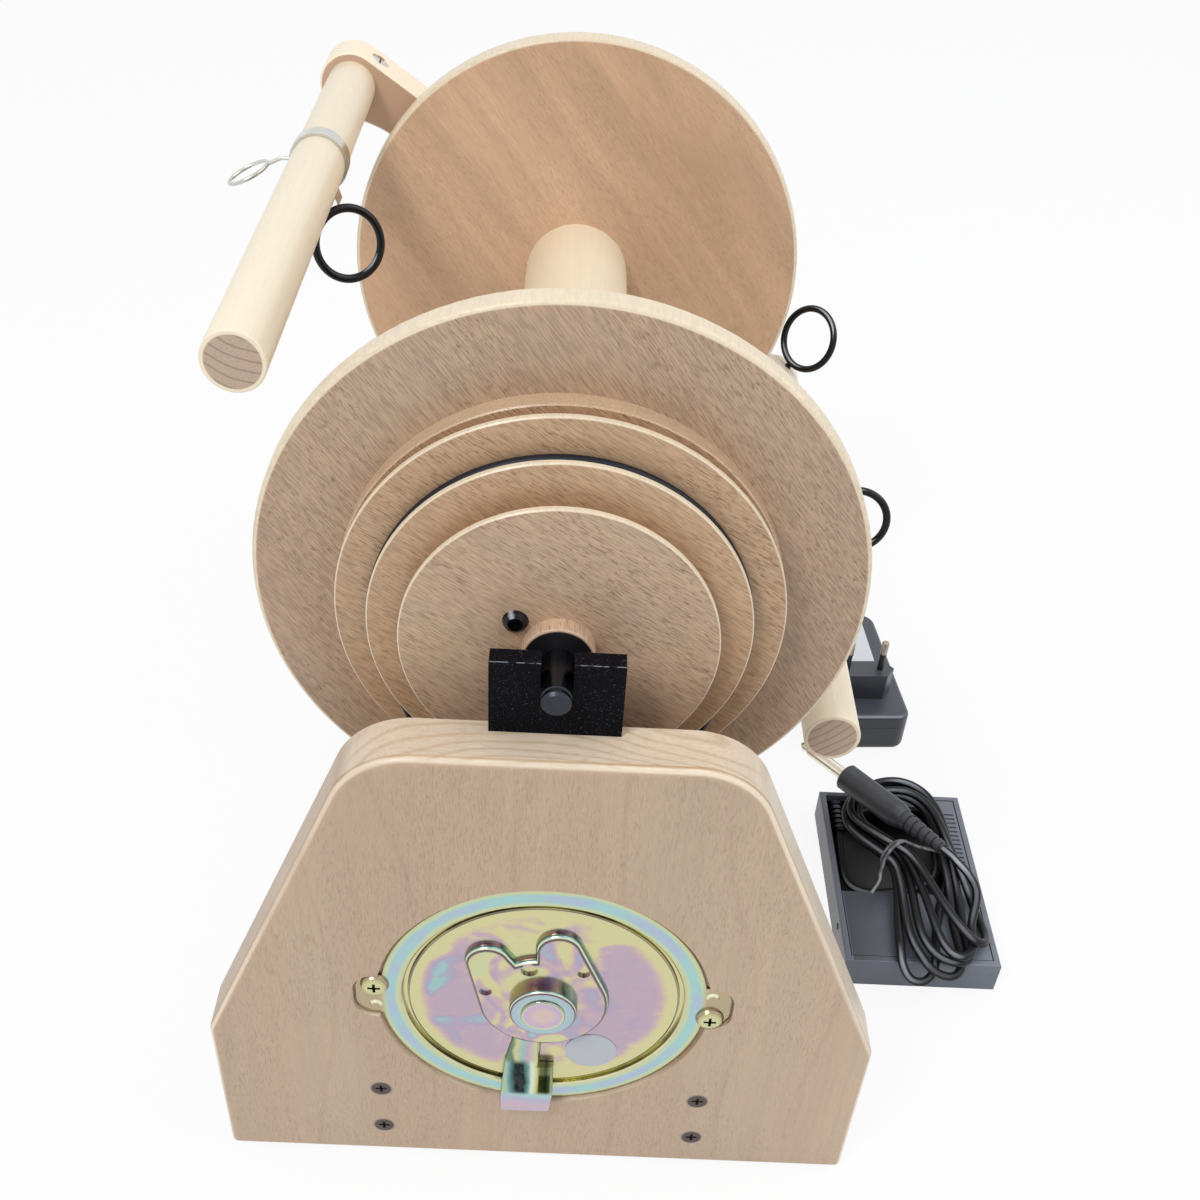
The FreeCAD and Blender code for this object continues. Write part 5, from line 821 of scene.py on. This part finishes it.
def lay_floor():
    """A floor of white paper, which glows for the camera and the gleams and still takes the shadow."""
    bpy.ops.mesh.primitive_plane_add(size=8.0, location=(0, 0.2, 0))
    floor = bpy.context.object
    floor.name = "floor"
    sheet = Finish("studio_paper", (0.86, 0.86, 0.86), 0.9)
    camera = sheet.node("ShaderNodeLightPath", out="Is Camera Ray")
    gleam = sheet.node("ShaderNodeLightPath", out="Is Glossy Ray")
    through = sheet.node("ShaderNodeLightPath", out="Is Transmission Ray")
    plain = Paint(sheet, sheet.shader.outputs[0])
    glow = sheet.node("ShaderNodeEmission", values={"Color": WHITE})
    lit = sheet.node("ShaderNodeMixShader",
                     values={0: (camera + gleam + through) * FLOOR_GLOW, 1: plain, 2: glow})
    sheet.join(lit, sheet.surface)
    floor.data.materials.append(sheet.material)


def light_room(scene):
    """A pale sky, which the camera, the gleams and clear pieces see as white."""
    world = bpy.data.worlds.new("studio")
    world.use_nodes = True
    scene.world = world
    nodes, links = world.node_tree.nodes, world.node_tree.links
    nodes.clear()
    mixed = nodes.new("ShaderNodeMixShader")
    for socket, colour, strength in ((1, SKY, SKY_STRENGTH), (2, WHITE, 1.0)):
        sky = nodes.new("ShaderNodeBackground")
        sky.inputs["Color"].default_value = (*colour, 1)
        sky.inputs["Strength"].default_value = strength
        links.new(sky.outputs[0], mixed.inputs[socket])
    rays = nodes.new("ShaderNodeLightPath")
    seen = rays.outputs["Is Camera Ray"]
    for kind in ("Is Transmission Ray", "Is Glossy Ray"):
        either = nodes.new("ShaderNodeMath")
        either.operation = "MAXIMUM"
        links.new(seen, either.inputs[0])
        links.new(rays.outputs[kind], either.inputs[1])
        seen = either.outputs[0]
    links.new(seen, mixed.inputs[0])
    out = nodes.new("ShaderNodeOutputWorld")
    links.new(mixed.outputs[0], out.inputs["Surface"])


def hang_lamps(scene):
    """A window to the left and a soft lamp to the right."""
    for name, at, aim, size, power in LAMPS:
        lamp = bpy.data.lights.new(name, "AREA")
        lamp.shape = "SQUARE"
        lamp.size = size
        lamp.energy = power
        light = bpy.data.objects.new(name, lamp)
        scene.collection.objects.link(light)
        toward = (Vector(aim) - Vector(at)).to_track_quat("-Z", "Y")
        light.matrix_world = Matrix.Translation(at) @ toward.to_matrix().to_4x4()


class SPINNER_OT_stage(bpy.types.Operator):
    """Camera, light and floor"""

    bl_idname = "spinner.stage"
    bl_label = "Stage"

    def execute(self, context):
        calm()
        set_view(context.scene)
        lay_floor()
        light_room(context.scene)
        hang_lamps(context.scene)
        context.scene.view_settings.view_transform = "Standard"
        return {"FINISHED"}


# ---------------------------------------------------------------- the spinner's pieces
class SPINNER_OT_boards(bpy.types.Operator):
    """Finish of the panels, the rails and the feet"""

    bl_idname = "spinner.boards"
    bl_label = "Boards"

    def execute(self, context):
        board = tuple(context.scene.spinner_colours.board)
        # the board's upward edges and sides carry painted light and shade
        dress(beech("beech_board", board, flecks=0.26, fine=2900.0, edge=BOARD_LIT_EDGE),
              "motor_panel", "front_panel")
        dress(beech("beech_rail", board, ALONG_Y), "rails")
        dress(plastic("foot_rubber", (0.03, 0.03, 0.032), 0.75), "rubber_feet")
        dress(blackened("frame_screw_black", (0.12, 0.095, 0.088), FRAME_SCREWS, FRAME_SCREW_R),
              "frame_screws")
        return {"FINISHED"}


class SPINNER_OT_bobbin(bpy.types.Operator):
    """Finish of the bobbin, the whorl and the flyer"""

    bl_idname = "spinner.bobbin"
    bl_label = "Bobbin and flyer"

    def execute(self, context):
        tint = context.scene.spinner_colours
        rim, flange, pale = tuple(tint.rim), tuple(tint.flange), tuple(tint.maple)
        faces = {"flecks": 0.85, "streaks": 0.12, "fine": 2500.0, "rim": rim}
        dress(beech("flange_beech", flange, (0, math.radians(38), 0), rim_from=FLANGE_RIM_R,
                    far=tuple(tint.far_flange), **faces), "bobbin_flanges")
        dress(beech("whorl_beech", shade(flange, 1.1), (0, math.radians(57), 0), rim_from=WHORL_RIM_R,
                    stepped=True, **faces), "whorl")
        dress(beech("hub_beech", shade(flange, 1.25), ALONG_Y, 0.6), "bobbin_hub")
        dress(maple("arm_maple", pale, ALONG_Y, end=tuple(tint.end_grain)), "flyer_arms")
        dress(maple("core_maple", pale, ALONG_Y), "bobbin_core")
        # the crossbar's flat face gets a darker colour as painted shade
        dress(maple("bar_maple", shade(pale, 1.08), (0, math.radians(124.4), 0), front=shade(flange, 1.05)),
              "flyer_crossbar")
        return {"FINISHED"}


class SPINNER_OT_metalwork(bpy.types.Operator):
    """Finish of the motor, the screws, the spindle and the wire parts"""

    bl_idname = "spinner.metalwork"
    bl_label = "Metalwork"

    def execute(self, context):
        dress(plated_can(), "motor_housing")
        dress(plated_cover(), "motor_lead_cover")
        dress(plated("plated_plate", 0.4, 0.8), "motor_end_plate")
        dress(plated("plated_screws", 0.12, 0.2, MOTOR_SCREWS), "motor_screws")
        dress(steel("gunmetal_spindle", (0.05, 0.054, 0.066)), "flyer_shaft")
        dress(steel("ground_steel", (0.34, 0.34, 0.35)), "motor_shaft", "motor_pulley")
        dress(steel("bright_steel", (0.66, 0.66, 0.65), 0.24), "orifice_tube", "arm_screws")
        dress(steel("spring_steel", (0.5, 0.5, 0.5), lines=""), "brake_spring", "brake_hook", "pedal_spring")
        dress(steel("nickel_wire", (0.62, 0.61, 0.58), 0.2, lines="", worn=0.6), "guide_clip")
        dress(steel("jack_nickel", (0.84, 0.80, 0.70), 0.18, lines="X", worn=0.25), "jack_shank")
        dress(steel("bronze_bush", (0.5, 0.36, 0.2), 0.4), "motor_bushes", "orifice_bearing")
        dress(steel("varnished_copper", (0.7, 0.35, 0.2), 0.35), "motor_armature")
        dress(blackened("rest_screw_black", (0.03, 0.03, 0.033)), "rest_screws")
        dress(pin_metal(), "adapter_pins")
        return {"FINISHED"}


class SPINNER_OT_black_parts(bpy.types.Operator):
    """Finish of the black plates, the eyes, the bushes, the belt and the controls"""

    bl_idname = "spinner.black_parts"
    bl_label = "Black parts"

    def execute(self, context):
        dress(plastic("rest_black", (0.0042, 0.0042, 0.006), 0.42, 1100.0, 0.00012, specks=1.0,
                      spark=(0.11, 0.115, 0.14), edge=0.6, gleam=(WINDOW, 0.97, 1.0, (0.03, 0.032, 0.042)),
                      painted_light=rest_edge_highlight, Specular_IOR_Level=0.05),
              "shaft_rest", "orifice_plate", "control_fascia")
        dress(plastic("enamelled_eyes", (0.003, 0.003, 0.004), 0.2, 900.0, 0.00004, specks=0.2,
                      gleam=(WINDOW, 0.93, 0.985, (0.62, 0.64, 0.68)), Specular_IOR_Level=0.3),
              "screw_eyes", "whorl_screw")
        dress(plastic("bush_black", (0.012, 0.012, 0.014), 0.3), "bobbin_bushes")
        dress(plastic("belt_rubber", (0.006, 0.008, 0.016), Specular_IOR_Level=0.3), "drive_belt")
        dress(plastic("control_black", (0.02, 0.02, 0.022), 0.35), "control_box", "speed_knob",
              "rocker_frame", "direction_rocker", "dc_inlet", "pedal_socket", "brake_peg", "motor_brushes",
              "motor_magnets")
        dress(plastic("board_green", (0.03, 0.2, 0.09), 0.4), "circuit_board", "adapter_circuit")
        dress(plastic("brake_cotton", (0.75, 0.7, 0.6), 0.8), "brake_cord")
        dress(paper("round_label", (0.50, 0.52, 0.56)), "motor_label")
        return {"FINISHED"}


class SPINNER_OT_pedal(bpy.types.Operator):
    """Finish of the foot pedal and its plug"""

    bl_idname = "spinner.pedal"
    bl_label = "Pedal"

    def execute(self, context):
        moulded = tuple(context.scene.spinner_colours.pedal)
        dress(plastic("pedal_plastic", moulded, 0.4, edge=0.35, painted_light=tray_shade),
              "pedal_base", "pedal_treadle", "pedal_gland", "pedal_switch")
        dress(plastic("handle_plastic", (0.03, 0.032, 0.041), 0.42,
                      gleam=(HANDLE_WINDOW, 0.8, 1.0, (0.07, 0.075, 0.09))), "jack_handle")
        return {"FINISHED"}


class SPINNER_OT_adapter(bpy.types.Operator):
    """Finish of the wall adapter, and its bare label"""

    bl_idname = "spinner.adapter"
    bl_label = "Adapter"

    def execute(self, context):
        moulded = tuple(context.scene.spinner_colours.adapter)
        dress(plastic("adapter_plastic", moulded, 0.36, edge=0.5, painted_light=case_shade,
                      gleam=(ADAPTER_WINDOW, 0.93, 0.99, (0.34, 0.37, 0.42))),
              "adapter_base", "adapter_cover")
        calm()
        size = context.scene.spinner_sizes
        bpy.ops.mesh.primitive_cube_add(size=1, location=(0, 0, 0))
        plate = context.object
        plate.scale = (size.label_width, size.label_length, size.label)
        bpy.ops.object.transform_apply(location=True, rotation=True, scale=True)
        bpy.ops.object.mode_set(mode="EDIT")
        mesh = bmesh.from_edit_mesh(plate.data)
        for face in mesh.faces:
            face.select = False
        for edge in mesh.edges:
            low, high = edge.verts
            edge.select = abs(low.co.z - high.co.z) > size.label / 2
        mesh.select_flush_mode()
        bmesh.update_edit_mesh(plate.data)
        bpy.ops.mesh.bevel(offset=LABEL_CORNER, segments=5)
        bpy.ops.object.mode_set(mode="OBJECT")
        plate.location = (PINS_X - LABEL_PAST_PINS * math.sin(ADAPTER_TURN),
                          PINS_Y + LABEL_PAST_PINS * math.cos(ADAPTER_TURN),
                          ADAPTER_TOP + size.label / 2 - LABEL_SINK)
        plate.rotation_euler = (0, 0, ADAPTER_TURN)
        settle(plate, "adapter_label", paper("bare_label", (0.80, 0.84, 0.88)), "frame")
        return {"FINISHED"}


class SPINNER_OT_cord(bpy.types.Operator):
    """The pedal's cord in its tied hank"""

    bl_idname = "spinner.cord"
    bl_label = "Cord"

    def execute(self, context):
        tint = context.scene.spinner_colours
        size = context.scene.spinner_sizes
        calm()
        cord = lay_curve("pedal_lead", CORD_ROUTE, size.cord)
        cord.data.materials.append(rubber("cord_jacket", tuple(tint.cord)))
        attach(cord, "frame")
        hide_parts("pedal_cord", "cord_hank")
        pick(lay_curve("twist_tie", TIE_WIRE, size.tie))
        bpy.ops.object.convert(target="MESH")
        tie = settle(bpy.context.object, "twist_tie", tie_plastic(), "frame")
        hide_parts("cord_tie")
        return {"FINISHED"}


class SPINNER_PT_panel(bpy.types.Panel):
    """Everything that this file makes"""

    bl_idname = "SPINNER_PT_panel"
    bl_label = "Yarn spinner"
    bl_space_type = "VIEW_3D"
    bl_region_type = "UI"
    bl_category = "Yarn spinner"

    def draw(self, context):
        for group in (context.scene.spinner_colours, context.scene.spinner_sizes):
            for key in group.__annotations__:
                self.layout.prop(group, key)
        for step in STEPS:
            self.layout.operator(step.bl_idname)


STEPS = (SPINNER_OT_stage, SPINNER_OT_cord, SPINNER_OT_boards, SPINNER_OT_bobbin, SPINNER_OT_metalwork,
         SPINNER_OT_black_parts, SPINNER_OT_pedal, SPINNER_OT_adapter)
CLASSES = (SpinnerColours, SpinnerSizes) + STEPS + (SPINNER_PT_panel,)


def register():
    for cls in CLASSES:
        bpy.utils.register_class(cls)
    bpy.types.Scene.spinner_colours = bpy.props.PointerProperty(type=SpinnerColours)
    bpy.types.Scene.spinner_sizes = bpy.props.PointerProperty(type=SpinnerSizes)


def unregister():
    del bpy.types.Scene.spinner_sizes
    del bpy.types.Scene.spinner_colours
    for cls in reversed(CLASSES):
        bpy.utils.unregister_class(cls)


def main():
    register()
    bpy.ops.spinner.stage()
    bpy.ops.spinner.cord()
    bpy.ops.spinner.boards()
    bpy.ops.spinner.bobbin()
    bpy.ops.spinner.metalwork()
    bpy.ops.spinner.black_parts()
    bpy.ops.spinner.pedal()
    bpy.ops.spinner.adapter()
    calm()


if __name__ == "__main__":
    main()
